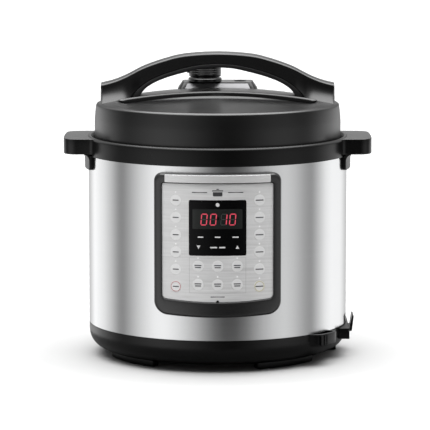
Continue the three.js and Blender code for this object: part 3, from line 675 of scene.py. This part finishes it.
def make_cord_hook():
    """The hook stands beside the bowl: a level bar, and a thin upright that leans out."""
    bar = box_mesh(124, 143.7, -48, 34, 21.8, 33.9)
    bevel(add_piece("cord_hook_bar", *bar, COLLAR_BLACK, "base", ["cord_hook"], slot="soft_black"), 0.8)
    section = [(142.5, 23.2), (147.6, 23.2), (148.4, 24.2), (150.3, 39.8), (149.7, 40.6), (148.7, 40.2),
               (146.6, 27.4), (142.5, 27.0)]
    upright = along_y(section, -6.0, 24.0)
    bevel(add_piece("cord_hook_upright", *upright, COLLAR_BLACK, "base", slot="soft_black"), 0.5, 2)


# ---------------------------------------------------------------- steel shell, collar and side handles

# The two ends, in y, of a cutter that goes through the front wall.
THROUGH_FRONT = (-170.0, -100.0)


def make_shell():
    inner = SHELL_RADIUS - 1.2
    wall = [(inner, SHELL_BOTTOM), (SHELL_RADIUS - 0.2, SHELL_BOTTOM), (SHELL_RADIUS, SHELL_BOTTOM + 0.2),
            (SHELL_RADIUS, SHELL_TOP), (inner, SHELL_TOP)]
    shell = add_piece("steel_shell", *revolved(wall), STEEL, "base", ["outer_shell"])
    cut_with(shell, [cutter("panel_hole", *along_y(rounded_box(-50, 50, 92, 198, 6), *THROUGH_FRONT))])


def make_collar():
    rim = [(139.9 + 3.5 * math.cos(a), 237.5 + 3.5 * math.sin(a)) for a in quarter(8)]
    profile = [(141.8, COLLAR_BOTTOM), (143.5, COLLAR_BOTTOM), (143.5, 232.0), *rim, (139.0, 240.9),
               (138.4, 240.4), (135.4, 236.4), (135.2, 235.0), (134.2, 234.0), (118.0, 233.4), (118.0, 231.0),
               (141.8, 231.0)]
    add_piece("collar", *revolved(profile), COLLAR_BLACK, "base", ["top_collar"])
    for side, name in ((1, "right"), (-1, "left")):
        make_side_handle(side, name)


def handle_plan():
    """Plan of the right side handle, counter-clockwise, with hollow corners beside the collar."""
    corner = 14.0
    front = 45.6
    centre = (TIP_X - 0.8 - corner, corner - front)
    lower = [(133.0, -49.6), (134.8, -48.3), (136.0, -47.2), (137.3, -46.4), (139.0, -46.1)]
    lower += [(centre[0] + corner * math.sin(a), centre[1] - corner * math.cos(a)) for a in quarter(12)]
    lower += [(TIP_X - 0.3, -20.0), (TIP_X - 0.1, -10.0), (TIP_X, 0.0)]
    outer = lower + [(x, -y) for x, y in reversed(lower[:-1])]
    start = math.asin(49.0 / 138.0)
    inner = [(138.0 * math.cos(a), 138.0 * math.sin(a)) for a in
             [start - start * k / 12 for k in range(1, 24)]]
    return outer + inner


def make_side_handle(side, name):
    low = 223.5
    high = 240.4
    points, faces = flat_plate(handle_plan(), low, high, 1.6, 0.7)
    points = [(side * x, y, z) for x, y, z in points]
    handle = add_piece(f"side_handle_{name}", points, faces, HANDLE_SIDE_BLACK, "base")
    handle.data.materials.append(TEXTURED_BLACK)
    for face in handle.data.polygons:
        if face.normal.z > 0.98:
            face.material_index = 1
    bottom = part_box(f"handle_underside_{name}")[0].z / MM
    tab = dense(rounded_box(-44.0, 44.0, bottom, low + 0.4, 6.0, 6), 3.0)
    plate = wrapped_plate(tab, 142.0, 145.5, 90.0 * side, 1.0)
    add_piece(f"handle_tab_{name}", *plate, COLLAR_BLACK, "base", [f"handle_underside_{name}"])
    flare = [(145.0, 216.0), (145.5, 216.0), (145.8, 218.0), (146.7, 220.2), (148.2, 222.0), (150.4, 223.2),
             (151.5, 223.6), (145.0, 224.2)]
    root = revolved(flare, 24, start=90.0 * side - 17.4, sweep=34.8)
    add_piece(f"handle_tab_root_{name}", *root, COLLAR_BLACK, "base")


# ---------------------------------------------------------------- control panel

def bowed_outline(half, bottom, top, bow, low_corner, high_corner, steps=10):
    """A panel outline, counter-clockwise from its lower middle, whose lower edge bows down in the middle."""
    def sag(u, share=1.0):
        return bow * (1 - (u / half) ** 2) * smoothstep(0, 1, share)

    span = half - low_corner
    right = [(span * k / (2 * steps), bottom - sag(span * k / (2 * steps))) for k in range(2 * steps)]
    for k, turn in enumerate(quarter(steps)):
        u = span + low_corner * math.sin(turn)
        right.append((u, bottom + low_corner * (1 - math.cos(turn)) - sag(u, 1 - k / steps)))
    side = top - high_corner - bottom - low_corner
    right += [(half, bottom + low_corner + side * k / (2 * steps)) for k in range(1, 2 * steps)]
    span = half - high_corner
    right += [(span + high_corner * math.cos(turn), top - high_corner * (1 - math.sin(turn)))
              for turn in quarter(steps)]
    right += [(span * (1 - k / (2 * steps)), top) for k in range(1, 2 * steps + 1)]
    return mirrored(right)


def make_bezel():
    outer = bowed_outline(67.0, 65.2, 214.4, 3.0, 13.0, 9.0)
    inner = bowed_outline(OVERLAY_HALF + 0.3, OVERLAY_BOTTOM - 0.3, OVERLAY_TOP + 0.3, 3.2, 4.0, 2.0)
    # Each ring lies some share of the way from the outer outline to the inner one, at its own radius.
    shape = [(0.0, 141.8), (0.0, 148.2), (0.03, 149.4), (0.1, 150.3), (0.2, 150.8), (0.35, PANEL_FRONT),
             (0.85, PANEL_FRONT), (0.94, 150.8), (0.98, 150.4), (1.0, 149.6), (1.0, 145.8), (0.5, 143.4),
             (0.0, 141.8)]
    rings = []
    for share, radius in shape:
        rings.append([wrapped((1 - share) * a + share * c, (1 - share) * b + share * d, radius)
                      for (a, b), (c, d) in zip(outer, inner)])
    add_piece("bezel", *ring_loft(rings, False, False), BEZEL_GREY, "base", ["control_bezel"])
    strip = dense(rounded_box(-55.8, 55.8, OVERLAY_TOP + 1.2, OVERLAY_TOP + 9.2, 1.0, 5), 4.0)
    add_piece("trim_strip", *wrapped_plate(strip, 147.0, PANEL_FRONT + 0.2, 0.0, 0.3, 24), TRIM_SILVER,
              "base", ["bezel_trim"])


def key_places():
    """Each key's name, and its middle in u and z."""
    sides = [(f"key_{side}_{row + 1}", x, 186.5 - 18.3 * row)
             for row in range(6) for side, x in (("left", -44.0), ("right", 44.0))]
    centre = [(f"key_centre_{3 * row + column + 1}", x, z)
              for row, z in enumerate((117.0, 97.4)) for column, x in enumerate((-20.6, 0.0, 20.6))]
    return sides + centre


def at_key(x, points):
    """Turns points made around the front of the cylinder, square to -Y, to a key's azimuth."""
    return about_z(points, math.degrees(math.asin(x / OVERLAY_FRONT)))


def key_disc(radius, z, back, front):
    """A disc about a front-facing axis, with a rounded rim and a slightly domed face."""
    profile = [(0.0, back), (radius, back), (radius, front - 0.12), (radius - 0.06, front - 0.03),
               (radius - 0.2, front)]
    profile += [(radius * k / 6, front + 0.1 * (1 - (k / 6) ** 2)) for k in range(5, -1, -1)]
    return about_key_axis(profile, z)


def about_key_axis(profile, z):
    """Turns a (radius, depth) profile about a level axis at a height z."""
    rings = []
    for i in range(41):
        angle = 2 * math.pi * i / 40
        rings.append([(r * math.cos(angle), -depth, z + r * math.sin(angle)) for r, depth in profile])
    return ring_loft(rings, False, False)


def make_overlay():
    inner = OVERLAY_FRONT - 1.8
    wall = [(inner, 70.0), (OVERLAY_FRONT, 70.0), (OVERLAY_FRONT, 215.0), (inner, 215.0)]
    sheet = add_piece("key_overlay", *revolved(wall, 72, start=-27.0, sweep=54.0), OVERLAY_SILVER, "base",
                      ["keypad_overlay"])
    outline = bowed_outline(OVERLAY_HALF, OVERLAY_BOTTOM, OVERLAY_TOP, 3.2, 4.0, 2.0, 6)
    cut_with(sheet, [cutter("keep", *along_y(outline, *THROUGH_FRONT))], how="INTERSECT")
    holes = []
    for _, x, z in key_places():
        points, faces = along_y(circle(0.0, z, KEY_RADIUS + 0.05, 40), -160.0, -140.0)
        holes.append(cutter("key_hole", at_key(x, points), faces))
    for name, hole in (("window_hole", rounded_box(-30.3, 30.3, 128.1, 187.2, 2.2, 5)),
                       ("notch", circle(0.0, 79.4, 1.5, 20))):
        holes.append(cutter(name, *along_y(hole, *THROUGH_FRONT)))
    cut_with(sheet, holes)
    backing = bowed_outline(OVERLAY_HALF + 0.2, OVERLAY_BOTTOM - 0.2, OVERLAY_TOP + 0.2, 3.2, 4.0, 2.0, 6)
    add_piece("overlay_backing", *wrapped_plate(backing, 145.9, 146.2, 0.0, 0.1, 12), BEZEL_GREY, "base")


def sticker(name, outline, finish, radius=OVERLAY_FRONT, thickness=0.12):
    """A thin printed mark on the panel, its outline drawn in u and z."""
    mark = wrapped_plate(outline, radius - 0.05, radius + thickness, 0.0, 0.02, 5)
    add_piece(name, *mark, finish, "base")


def bar_outline(x, z, width, height):
    return rounded_box(x - width / 2, x + width / 2, z - height / 2, z + height / 2, height * 0.3, 2)


RINGED_KEYS = {"key_left_6": RED_INK, "key_right_6": GOLD_INK}

# Bars that stand for each key's label: how far below the key's middle, and how wide.
LABELS = {
    "key_left_": [(0.0, 6.6)],
    "key_right_": [(0.0, 8.6)],
    "key_centre_": [(-1.0, 7.4), (1.2, 6.4)],
}


def make_keys():
    for name, x, z in key_places():
        points, faces = key_disc(KEY_RADIUS, z, OVERLAY_FRONT - 1.2, OVERLAY_FRONT + 0.05)
        add_piece(f"{name}_cap", at_key(x, points), faces, KEY_SILVER, name, [name])
        for i, (drop, width) in enumerate(LABELS[name.rstrip("123456")]):
            points, faces = along_y(bar_outline(0.0, z - drop, width, 1.1), -OVERLAY_FRONT - 0.1,
                                    -OVERLAY_FRONT - 0.26)
            add_piece(f"{name}_glyph_{i + 1}", at_key(x, points), faces, LABEL_INK, name)
        if name in RINGED_KEYS:
            section = [(r, OVERLAY_FRONT + d) for r, d in ((5.5, 0.02), (5.5, 0.3), (4.9, 0.34), (4.9, 0.02))]
            points, faces = about_key_axis(section, z)
            add_piece(f"{name}_ring", at_key(x, points), faces, RINGED_KEYS[name], name)
    for name, x, z in key_places():
        if name not in ("key_left_6", "key_centre_2"):
            sticker(f"{name}_lamp", circle(x, z + 8.6, 0.8, 14), LAMP_INK)


SEGMENTS = {"0": "abcdef", "1": "bc"}


def segment_outlines(x, z, width, height, slant):
    """Outlines of the seven bars, t thick, of a digit whose lower left corner is at x and z."""
    t = 1.0
    gap = 0.3
    half = height / 2

    def lean(points):
        return [(x + u + slant * v, z + v) for u, v in points]

    def level(v):
        return lean([(gap + t, v - t / 2), (width - gap - t, v - t / 2), (width - gap - t / 2, v),
                     (width - gap - t, v + t / 2), (gap + t, v + t / 2), (gap + t / 2, v)])

    def post(u, v0, v1):
        return lean([(u, v0 + gap), (u + t / 2, v0 + gap + t / 2), (u + t / 2, v1 - gap - t / 2),
                     (u, v1 - gap), (u - t / 2, v1 - gap - t / 2), (u - t / 2, v0 + gap + t / 2)])

    left, right = t / 2, width - t / 2
    return {
        "a": level(height - t / 2), "g": level(half), "d": level(t / 2),
        "f": post(left, half, height - t / 2), "e": post(left, t / 2, half),
        "b": post(right, half, height - t / 2), "c": post(right, t / 2, half),
    }


def make_display():
    face = OVERLAY_FRONT - 0.1
    window = dense(rounded_box(-30.0, 30.0, 128.4, 186.9, 2.0, 5), 3.0)
    add_piece("window", *wrapped_plate(window, OVERLAY_FRONT - 1.8, face, 0.0, 0.3, 16), WINDOW, "base",
              ["display_window"])
    lens = dense(rounded_box(-26.4, 26.0, 156.6, 177.6, 1.0, 3), 3.0)
    sticker("display_glass", lens, LENS, face, 0.06)
    for i, (digit, x) in enumerate(zip("0010", (-18.2, -8.5, 2.6, 11.8))):
        for part, outline in segment_outlines(x, 160.5, 6.8, 12.4, 0.09).items():
            finish = RED_GLOW if part in SEGMENTS[digit] else DIM_SEGMENT
            sticker(f"digit_{i + 1}_{part}", outline, finish, face, 0.1)
    bars = {"level_mark_1": (-18.0, 148.0, 5.8, 1.3), "level_mark_2": (0.0, 148.0, 5.8, 1.3),
            "level_mark_3": (18.8, 148.0, 6.4, 1.3), "unit_mark_1": (-4.2, 137.1, 7.4, 1.4),
            "unit_mark_2": (4.8, 137.1, 6.4, 1.4)}
    marks = {
        "window_lamp": circle(0.0, 182.2, 2.0, 24),
        **{name: bar_outline(*bar) for name, bar in bars.items()},
        "down_mark": [(-20.0, 135.4), (-18.1, 139.1), (-21.9, 139.1)],
        "up_mark": [(18.9, 135.6), (22.7, 135.6), (20.8, 139.2)],
    }
    for name, outline in marks.items():
        sticker(name, outline, WHITE_INK, face)


def make_panel_marks():
    """A pot glyph between two rules, a rule under the keys, and thin lines round the middle keys."""
    marks = {
        "rule_1": bar_outline(-19.0, 195.2, 16.0, 0.9),
        "rule_3": bar_outline(19.0, 195.2, 16.0, 0.9),
        "pot_mark_body": filleted([(-5.0, 191.2, 1.2), (5.0, 191.2, 1.2), (5.0, 195.6, 0.4),
                                   (-5.0, 195.6, 0.4)], 3),
        "pot_mark_lid": bar_outline(0.0, 197.0, 11.6, 1.1),
        "pot_mark_knob": bar_outline(0.0, 198.6, 2.6, 1.0),
    }
    for name, outline in marks.items():
        sticker(name, outline, DARK_INK)
    sticker("lower_rule", bar_outline(0.0, 84.6, 15.0, 0.9), LABEL_INK)
    lines = [(-29.7, 29.7, 125.85, 126.15), (-29.7, 29.7, 88.45, 88.75), (-29.85, -29.55, 88.6, 126.0),
             (29.55, 29.85, 88.6, 126.0)]
    for i, line in enumerate(lines):
        sticker(f"group_line_{i + 1}", dense(rounded_box(*line, 0.05, 1), 3.0), LINE_INK, thickness=0.05)


# ---------------------------------------------------------------- lid

def dome(x, y):
    return DOME_TOP - DOME_CURVE * (x * x + y * y)


def scoop(x, y):
    """The lowered front part of the lid's top."""
    away = SCOOP_EDGE - y
    side_drop = 6.0 * (x / 104.0) ** 2 * (1.0 - 0.6 * smoothstep(0.0, 50.0, away))
    fillet = max(0.2, 2.6 * (1.0 - (x / 90.0) ** 2)) * max(0.0, 1.0 - away / 4.5) ** 2
    return 283.2 - side_drop - 0.076 * away + fillet + 5.0 * smoothstep(100.0, 114.0, abs(x))


def front_height(x, y):
    """The dome and the scoop, whichever is lower, blended where they meet."""
    gap = dome(x, y) - scoop(x, y)
    soft = 0.5
    lowest = dome(x, y) - 0.5 * (gap + math.sqrt(gap * gap + soft * soft))
    return lowest + 0.5 * soft * smoothstep(2.0, -2.0, gap)


def back_height(x, y):
    """The dome, with a low lip along its front edge, rounded over where it steps down to the scoop."""
    away = max(0.0, y - SCOOP_EDGE)
    near = min(STEP_ROUNDING, away)
    drop = STEP_ROUNDING - math.sqrt(max(0.0, STEP_ROUNDING ** 2 - (STEP_ROUNDING - near) ** 2))
    step = max(0.0, dome(x, y) - scoop(x, SCOOP_EDGE))
    lip = LIP_HEIGHT * smoothstep(10.0, 3.0, away) * smoothstep(0.0, 1.6, step)
    return dome(x, y) + lip - min(drop, 0.6 * step)


def make_lid_cover():
    rim = LID_RADIUS - 4.2
    rim_z = dome(rim, 0.0)
    side = smooth_curve([(rim, rim_z), (LID_RADIUS - 3.0, SHOULDER - 0.3), (LID_RADIUS - 2.1, SHOULDER - 1.1),
                         (LID_RADIUS - 1.6, SHOULDER - 2.4), (LID_RADIUS - 0.9, SHOULDER - 8.0)], 14)
    side += [(LID_RADIUS - 0.3, 262.0), (LID_RADIUS, 257.0), (LID_RADIUS, LID_BOTTOM + 0.6),
             (LID_RADIUS - 0.6, LID_BOTTOM), (131.4, LID_BOTTOM), (131.0, LID_BOTTOM + 0.5), (131.0, 257.0),
             (129.8, 267.0), (125.0, 270.5), (105.0, 273.0), (75.0, 275.5), (40.0, 277.5), (0.0, 278.5)]
    rings = []
    for i in range(ROUND + 1):
        angle = 2 * math.pi * i / ROUND
        ring = [(r * math.sin(angle), -r * math.cos(angle), z) for r, z in side]
        x, y = ring[0][:2]
        ring[0] = (x, y, front_height(x, y) if y < SCOOP_EDGE else back_height(x, y))
        rings.append(ring)
    points, faces = ring_loft(rings, False, False, closed=False)
    turns = [2 * math.pi * i / ROUND for i in range(ROUND)]
    edge = [(rim * math.sin(turn), -rim * math.cos(turn)) for turn in turns]
    front = sorted((p for p in edge if p[1] < SCOOP_EDGE), key=lambda p: p[0])
    back = sorted((p for p in edge if p[1] >= SCOOP_EDGE), key=lambda p: math.atan2(p[0], p[1]))
    end = math.sqrt(rim ** 2 - SCOOP_EDGE ** 2)
    chord = [(-end + 2 * end * k / 120, SCOOP_EDGE) for k in range(121)]
    add_patch(points, faces, front + chord[::-1], (0.0, -76.0), front_height)
    add_patch(points, faces, back + chord[::-1], (0.0, 22.0), back_height)
    step = [(a, b, b, a) for a, b in zip(chord, chord[1:])]
    step += [(front[k], chord[k], chord[k], back[k]) for k in (0, -1)]
    heights = (front_height, front_height, back_height, back_height)
    for places in step:
        start = len(points)
        points += [(*place, height(*place)) for place, height in zip(places, heights)]
        faces.append(tuple(range(start, start + 4)))
    add_piece("lid_top", points, faces, LID_BLACK, "lid", ["lid_cover"], sharp=40.0)


# How far out each ring of a patch lies, from its centre to its outline, with the rings crowded near the rim.
PATCH_RINGS = [0.12, 0.25, 0.38, 0.5, 0.6, 0.7, 0.78, 0.85, 0.9, 0.93, 0.95, 0.96, 0.968, 0.975, 0.98, 0.985,
               0.99, 0.995, 1.0]


def add_patch(points, faces, outline, centre, height):
    """A round-grid patch over a star-shaped outline in X and Y, lifted by a height function."""
    start = len(points)
    points.append((*centre, height(*centre)))
    count = len(outline)
    for share in PATCH_RINGS:
        ring = [[c + (p - c) * share for p, c in zip(place, centre)] for place in outline]
        points += [(x, y, height(x, y)) for x, y in ring]
    for i in range(count):
        faces.append((start, start + 1 + i, start + 1 + (i + 1) % count))
    for level in range(len(PATCH_RINGS) - 1):
        low = start + 1 + level * count
        for i in range(count):
            j = (i + 1) % count
            faces.append((low + i, low + j, low + count + j, low + count + i))


# The handle's lines from its middle to its right end, in X and Z: the top, the seam and the underside.
TOP_LINE = smooth_curve([(0, 332), (20, 331.3), (41, 329), (58, 324.6), (72, 320), (83, 315.6), (91.5, 311.2),
                         (100, 306.8), (110, 302.6), (119, 299.8), (128, 297.8)], 120)
PARTING_LINE = smooth_curve([(0, 319.6), (18, 318.5), (35, 315.2), (50, 311), (62, 306.8), (72, 302.2),
                             (80, 297.2), (87, 291.5), (93, 285.5), (98, 279), (101, 272)], 120)
UNDER_LINE = smooth_curve([(0, 315.6), (18, 314.2), (35, 310.4), (48, 306.9), (57, 304), (66, 300.4),
                           (74, 296), (79.5, 291.6), (83.2, 287), (85.4, 282), (86.6, 272)], 120)
FIN = 1.6


def lid_surface(x):
    return dome(x, 0.0) - 1.2


def foot_depth(x, share, fin):
    """Half-depth of the handle: share runs from 0 at the top shoulder to 1 at the lid."""
    spread = smoothstep(84.0, 106.0, abs(x))
    bend = share ** (1.15 if fin else 1.9)
    return HANDLE_HALF_DEPTH + (FOOT_HALF_DEPTH - HANDLE_HALF_DEPTH) * spread * bend


def shell_section(x, fin=False):
    """One slice of the handle's upper shell, square to X."""
    top = height_on(TOP_LINE, x)
    bottom = max(height_on(PARTING_LINE, x) + 0.25, lid_surface(x))
    crown = 0.8
    corner = 2.6
    steps = 14
    half = [((HANDLE_HALF_DEPTH - corner) * k / 4, top - crown * (k / 4) ** 2) for k in range(5)]
    shoulder = top - crown - corner
    half += [(HANDLE_HALF_DEPTH - corner + corner * math.sin(turn), shoulder + corner * math.cos(turn))
             for turn in quarter(5)[1:]]
    for share in [k / steps for k in range(1, steps + 1)]:
        half.append((foot_depth(x, share, fin), shoulder + (bottom + 0.5 - shoulder) * share))
    half += [(half[-1][0] - 0.5, bottom), (0.0, bottom)]
    return [(x, y, z) for y, z in mirrored(half)]


def make_handle():
    stations = [-HANDLE_REACH + 2 * HANDLE_REACH * k / 200 for k in range(201)]
    inner = [x for x in stations if abs(x) < HANDLE_REACH - FIN]
    join = HANDLE_REACH - FIN
    rings = [shell_section(-HANDLE_REACH, True), shell_section(-join, True), shell_section(-join - 0.001)]
    rings += [shell_section(x) for x in inner]
    rings += [shell_section(join + 0.001), shell_section(join, True), shell_section(HANDLE_REACH, True)]
    add_piece("handle_shell", *ring_loft(rings), HANDLE_BLACK, "lid", ["handle_top"])
    make_grip()


def grip_section(x):
    top = height_on(PARTING_LINE, x)
    bottom = max(height_on(UNDER_LINE, x), lid_surface(x))
    depth = HANDLE_HALF_DEPTH + 0.5
    radius = min(1.2, 0.3 * (top - bottom))
    half = [(0.0, top), (depth - 1.1, top), (depth - 0.3, top - 0.4), (depth, top - 1.1)]
    half += [(depth - radius + radius * math.cos(turn), bottom + radius - radius * math.sin(turn))
             for turn in quarter(5)]
    half.append((0.0, bottom))
    return [(x, y, z) for y, z in mirrored(half)]


def make_grip():
    reach = 99.0
    stations = [-reach + 2 * reach * k / 260 for k in range(261)]
    stations = [x for x in stations if height_on(PARTING_LINE, x) > lid_surface(x) + 0.6]
    rings = [grip_section(x) for x in stations]
    add_piece("handle_lower_grip", *ring_loft(rings), GRIP_BLACK, "lid", ["handle_grip"])


def deck_level(grow, z):
    """Outline of the valve plateau at one height, larger by a margin all round."""
    outline = rounded_box(-39.0 - grow, 39.0 + grow, 44.0 - grow, 73.0 + grow, 5.0 + 0.6 * grow, 6)
    return [(x, y, z) for x, y in outline]


def make_deck():
    levels = [(6.4, 281.0), (5.4, 286.0), (5.0, 287.4), (0.9, DECK_TOP - 1.5), (0.5, DECK_TOP - 0.5),
              (-0.2, DECK_TOP)]
    rings = [deck_level(grow, z) for grow, z in levels]
    deck = add_piece("valve_plateau", *ring_loft(rings), DECK_BLACK, "lid", ["valve_deck"])
    cut_with(deck, [cutter("float_room", *round_prism(FLOAT_X, FLOAT_Y, 6.8, 270.0, 300.0))])
    # A thin light grey plate on the plateau's front facet: a painted highlight standing for the facet's
    # reflection of the overhead light.
    low, high = 287.9, DECK_TOP - 2.0
    front = [(-36.0, 38.7, low), (36.0, 38.7, low), (33.4, 42.7, high), (-33.4, 42.7, high)]
    rings = [[(x, y - out, z + out * 0.5) for x, y, z in front] for out in (-0.4, 0.25)]
    add_piece("valve_plateau_painted_highlight", *ring_loft(rings), DECK_PAINTED_HIGHLIGHT, "lid")
    bush = [(5.9, 284.0), (6.7, 284.0), (6.7, 295.2), (6.3, 295.5), (5.9, 295.2)]
    add_piece("float_bush", *revolved(bush, 40, (FLOAT_X, FLOAT_Y)), RUBBER, "lid")


def make_knob():
    radius = 18.0
    low = KNOB_LOW.z / MM
    high = KNOB_HIGH.z / MM
    grooves = []
    for k in range(6):
        z = 303.0 + 2.3 * k
        grooves += [(radius - 0.2, z), (radius - 0.2, z + 1.5), (radius - 0.55, z + 1.9)]
    profile = [(4.6, low), (radius + 0.3, low), (radius + 0.6, low + 0.4), (radius + 0.6, low + 3.0),
               (radius + 0.1, low + 3.6), (radius - 1.8, low + 4.0), (radius - 1.8, low + 5.0),
               (radius - 0.6, low + 5.4), (radius - 0.2, low + 6.4), *grooves, (radius - 0.4, high - 1.6),
               (radius - 1.2, high - 0.5), (radius - 2.4, high), (9.0, high), (8.4, high - 0.6),
               (8.0, high - 1.2), (0.0, high - 1.2), (0.0, 310.0), (4.6, 310.0)]
    add_piece("steam_knob", *revolved(profile, 96, (KNOB_X, KNOB_Y)), HANDLE_BLACK, "knob", ["valve_knob"])
    lug = box_mesh(KNOB_X - radius - 2.0, KNOB_X - radius + 3.0, KNOB_Y - 3, KNOB_Y + 3, 304.5, 309.5)
    bevel(add_piece("steam_knob_lug", *lug, HANDLE_BLACK, "knob"), 0.8)
    line = box_mesh(KNOB_X - 16.4, KNOB_X - 9.6, KNOB_Y - 0.6, KNOB_Y + 0.6, high - 0.3, high)
    bevel(add_piece("steam_knob_mark", *line, WHITE_INK, "knob", slot="silicone"), 0.1, 2)


# ---------------------------------------------------------------- pot, liner and the lid's inner side

def lug_bars(name, inner, outer, low, high, finish, body):
    """Six bayonet lugs, evenly spaced."""
    for i in range(6):
        bar = arc_bar(60.0 * i, 13.0, inner, outer, low, high, 0.4)
        add_piece(f"{name}_{i + 1}", *bar, finish, body)


def make_pots():
    pot = [(0, 60), (100, 60), (105.5, 60.9), (109.4, 63.6), (111.1, 67), (111.5, 71), (111.5, 242.6),
           (112.3, 243.6), (114, 243.9), (120.8, 243.9), (121.3, 244.4), (120.8, 245), (113.5, 245.1),
           (111.3, 244.4), (110.2, 242.6), (110.2, 71), (109.7, 67.6), (108.2, 64.8), (105, 62.4),
           (100, 61.3), (0, 61.3)]
    add_piece("cooking_pot", *revolved(pot), POT_STEEL, "base", ["inner_pot"])
    liner = [(20, 44), (109, 44), (113.5, 46), (115, 50.5), (115, 240.4), (115.6, 241), (123.2, 241),
             (123.5, 241.4), (123.5, 243), (123.2, 243.4), (113.9, 243.4), (113.6, 243), (113.6, 51),
             (112.2, 47.2), (108.4, 45.4), (20, 45.4)]
    add_piece("pressure_liner", *revolved(liner), ALUMINIUM, "base", ["liner_pot"])
    lug_bars("liner_lug", 122.5, 128.0, 241.0, 243.4, ALUMINIUM, "base")


def make_inner_lid():
    plate = [(0, 262), (60, 261), (106, 256), (123, 256), (127.6, 254.8), (129.8, 252.4), (130.4, 249.5),
             (130.4, 237.8), (130.1, 237.5), (129, 237.5), (128.7, 237.8), (128.7, 249), (127.4, 252),
             (125.6, 253.4), (122.5, 253.8), (105.6, 253.8), (60, 258.8), (0, 259.8)]
    add_piece("lid_plate", *revolved(plate), POT_STEEL, "lid", ["inner_lid"])
    lug_bars("lid_lug", 123.9, 129.2, 237.5, 240.6, POT_STEEL, "lid")
    seal = [(112.6, 245.6), (119.2, 245.6), (120.6, 246.2), (121.2, 247.4), (121.2, 251.8), (120.4, 252.6),
            (112.8, 252.6), (112, 251.8), (112.2, 251), (116.8, 250.5), (117.4, 249.9), (117.4, 248.2),
            (116.8, 247.6), (112.4, 247.2)]
    add_piece("silicone_seal", *revolved(seal), SILICONE, "lid_carrier", ["sealing_ring"])
    add_piece("seal_wire", *revolved(circle(109.7, 250.1, 1.1, 12)), WIRE_STEEL, "lid", ["seal_rack"])


def make_small_metal():
    shield = [(0, 244.6), (10.2, 244.6), (11.3, 245.2), (11.5, 246.4), (11.5, 255), (10.2, 255), (10.2, 247),
              (9.6, 246.6), (0, 246.6)]
    cap = add_piece("steam_shield", *revolved(shield, 64, (KNOB_X, KNOB_Y)), WIRE_STEEL, "lid",
                    ["anti_block_shield"])
    slots = []
    for angle in (0.0, 60.0, 120.0):
        points, faces = flat_plate(rounded_box(-14, 14, -1.2, 1.2, 1.0, 3), 248.0, 252.4)
        slots.append(cutter("slot", about_z(points, angle, KNOB_X, KNOB_Y), faces))
    cut_with(cap, slots)
    pin = [(0, 252.3), (2.6, 252.3), (2.6, 288), (3, 288.4), (5.2, 288.4), (5.6, 288.8), (5.6, 290.2),
           (5, 290.9), (3.6, 291.2), (0, 291.2)]
    add_piece("float_pin", *revolved(pin, 40, (FLOAT_X, FLOAT_Y)), WIRE_STEEL, "float", ["float_valve"])
    cap = [(0, 248), (4.6, 248), (5.8, 248.5), (6.4, 249.6), (6.4, 251.6), (6.0, 252), (0, 252)]
    add_piece("float_seal", *revolved(cap, 40, (FLOAT_X, FLOAT_Y)), SILICONE, "float", ["float_cap"])


def make_cup():
    low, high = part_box("condensation_cup")
    half = high.x / MM
    bottom = low.z / MM
    top = high.z / MM
    back = high.y / MM
    near = SHELL_RADIUS + 0.7

    def level(outset, z):
        outline = []
        for k in range(13):
            x = (half - outset) * (1 - k / 6)
            outline.append((x, math.sqrt(max(0.0, (near + outset) ** 2 - x * x)), z))
        corner = 3.0
        rounding = [(half - outset - corner + corner * math.cos(turn),
                     back - outset - corner + corner * math.sin(turn), z) for turn in quarter(6)]
        return outline + [(-x, y, z) for x, y, z in rounding] + rounding[::-1]

    levels = [(2.2, bottom), (0.8, bottom + 0.5), (0.2, bottom + 1.6), (0.0, bottom + 4), (0.0, top - 0.4),
              (0.4, top), (1.4, top), (1.8, top - 0.4), (1.8, bottom + 4), (2.6, bottom + 2.2),
              (4.0, bottom + 1.8)]
    rings = [level(outset, z) for outset, z in levels]
    add_piece("drip_cup", *ring_loft(rings), CLEAR, "cup", ["condensation_cup"])


def dress_cad_nodes():
    """Gives the CAD nodes that stay, all of them inside the cooker, their materials."""
    finishes = {
        "heating_plate": ALUMINIUM, "thermal_sensor": ALUMINIUM, "sensor_spring": WIRE_STEEL,
        "pressure_switch": COLLAR_BLACK, "power_board": BOARD_GREEN, "control_board": BOARD_GREEN,
        "display_module": COLLAR_BLACK, "steam_pipe": WIRE_STEEL, "lock_slider": GRIP_BLACK,
        "handle_screw_left": WIRE_STEEL, "handle_screw_right": WIRE_STEEL,
    }
    for node, finish in finishes.items():
        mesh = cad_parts[node].data
        mesh.materials.clear()
        mesh.materials.append(finish)


# ---------------------------------------------------------------- build

set_camera()
set_studio()
set_floor()
make_base()
make_shell()
make_collar()
make_bezel()
make_overlay()
make_keys()
make_display()
make_panel_marks()
make_lid_cover()
make_handle()
make_deck()
make_knob()
make_pots()
make_inner_lid()
make_small_metal()
make_cup()
dress_cad_nodes()
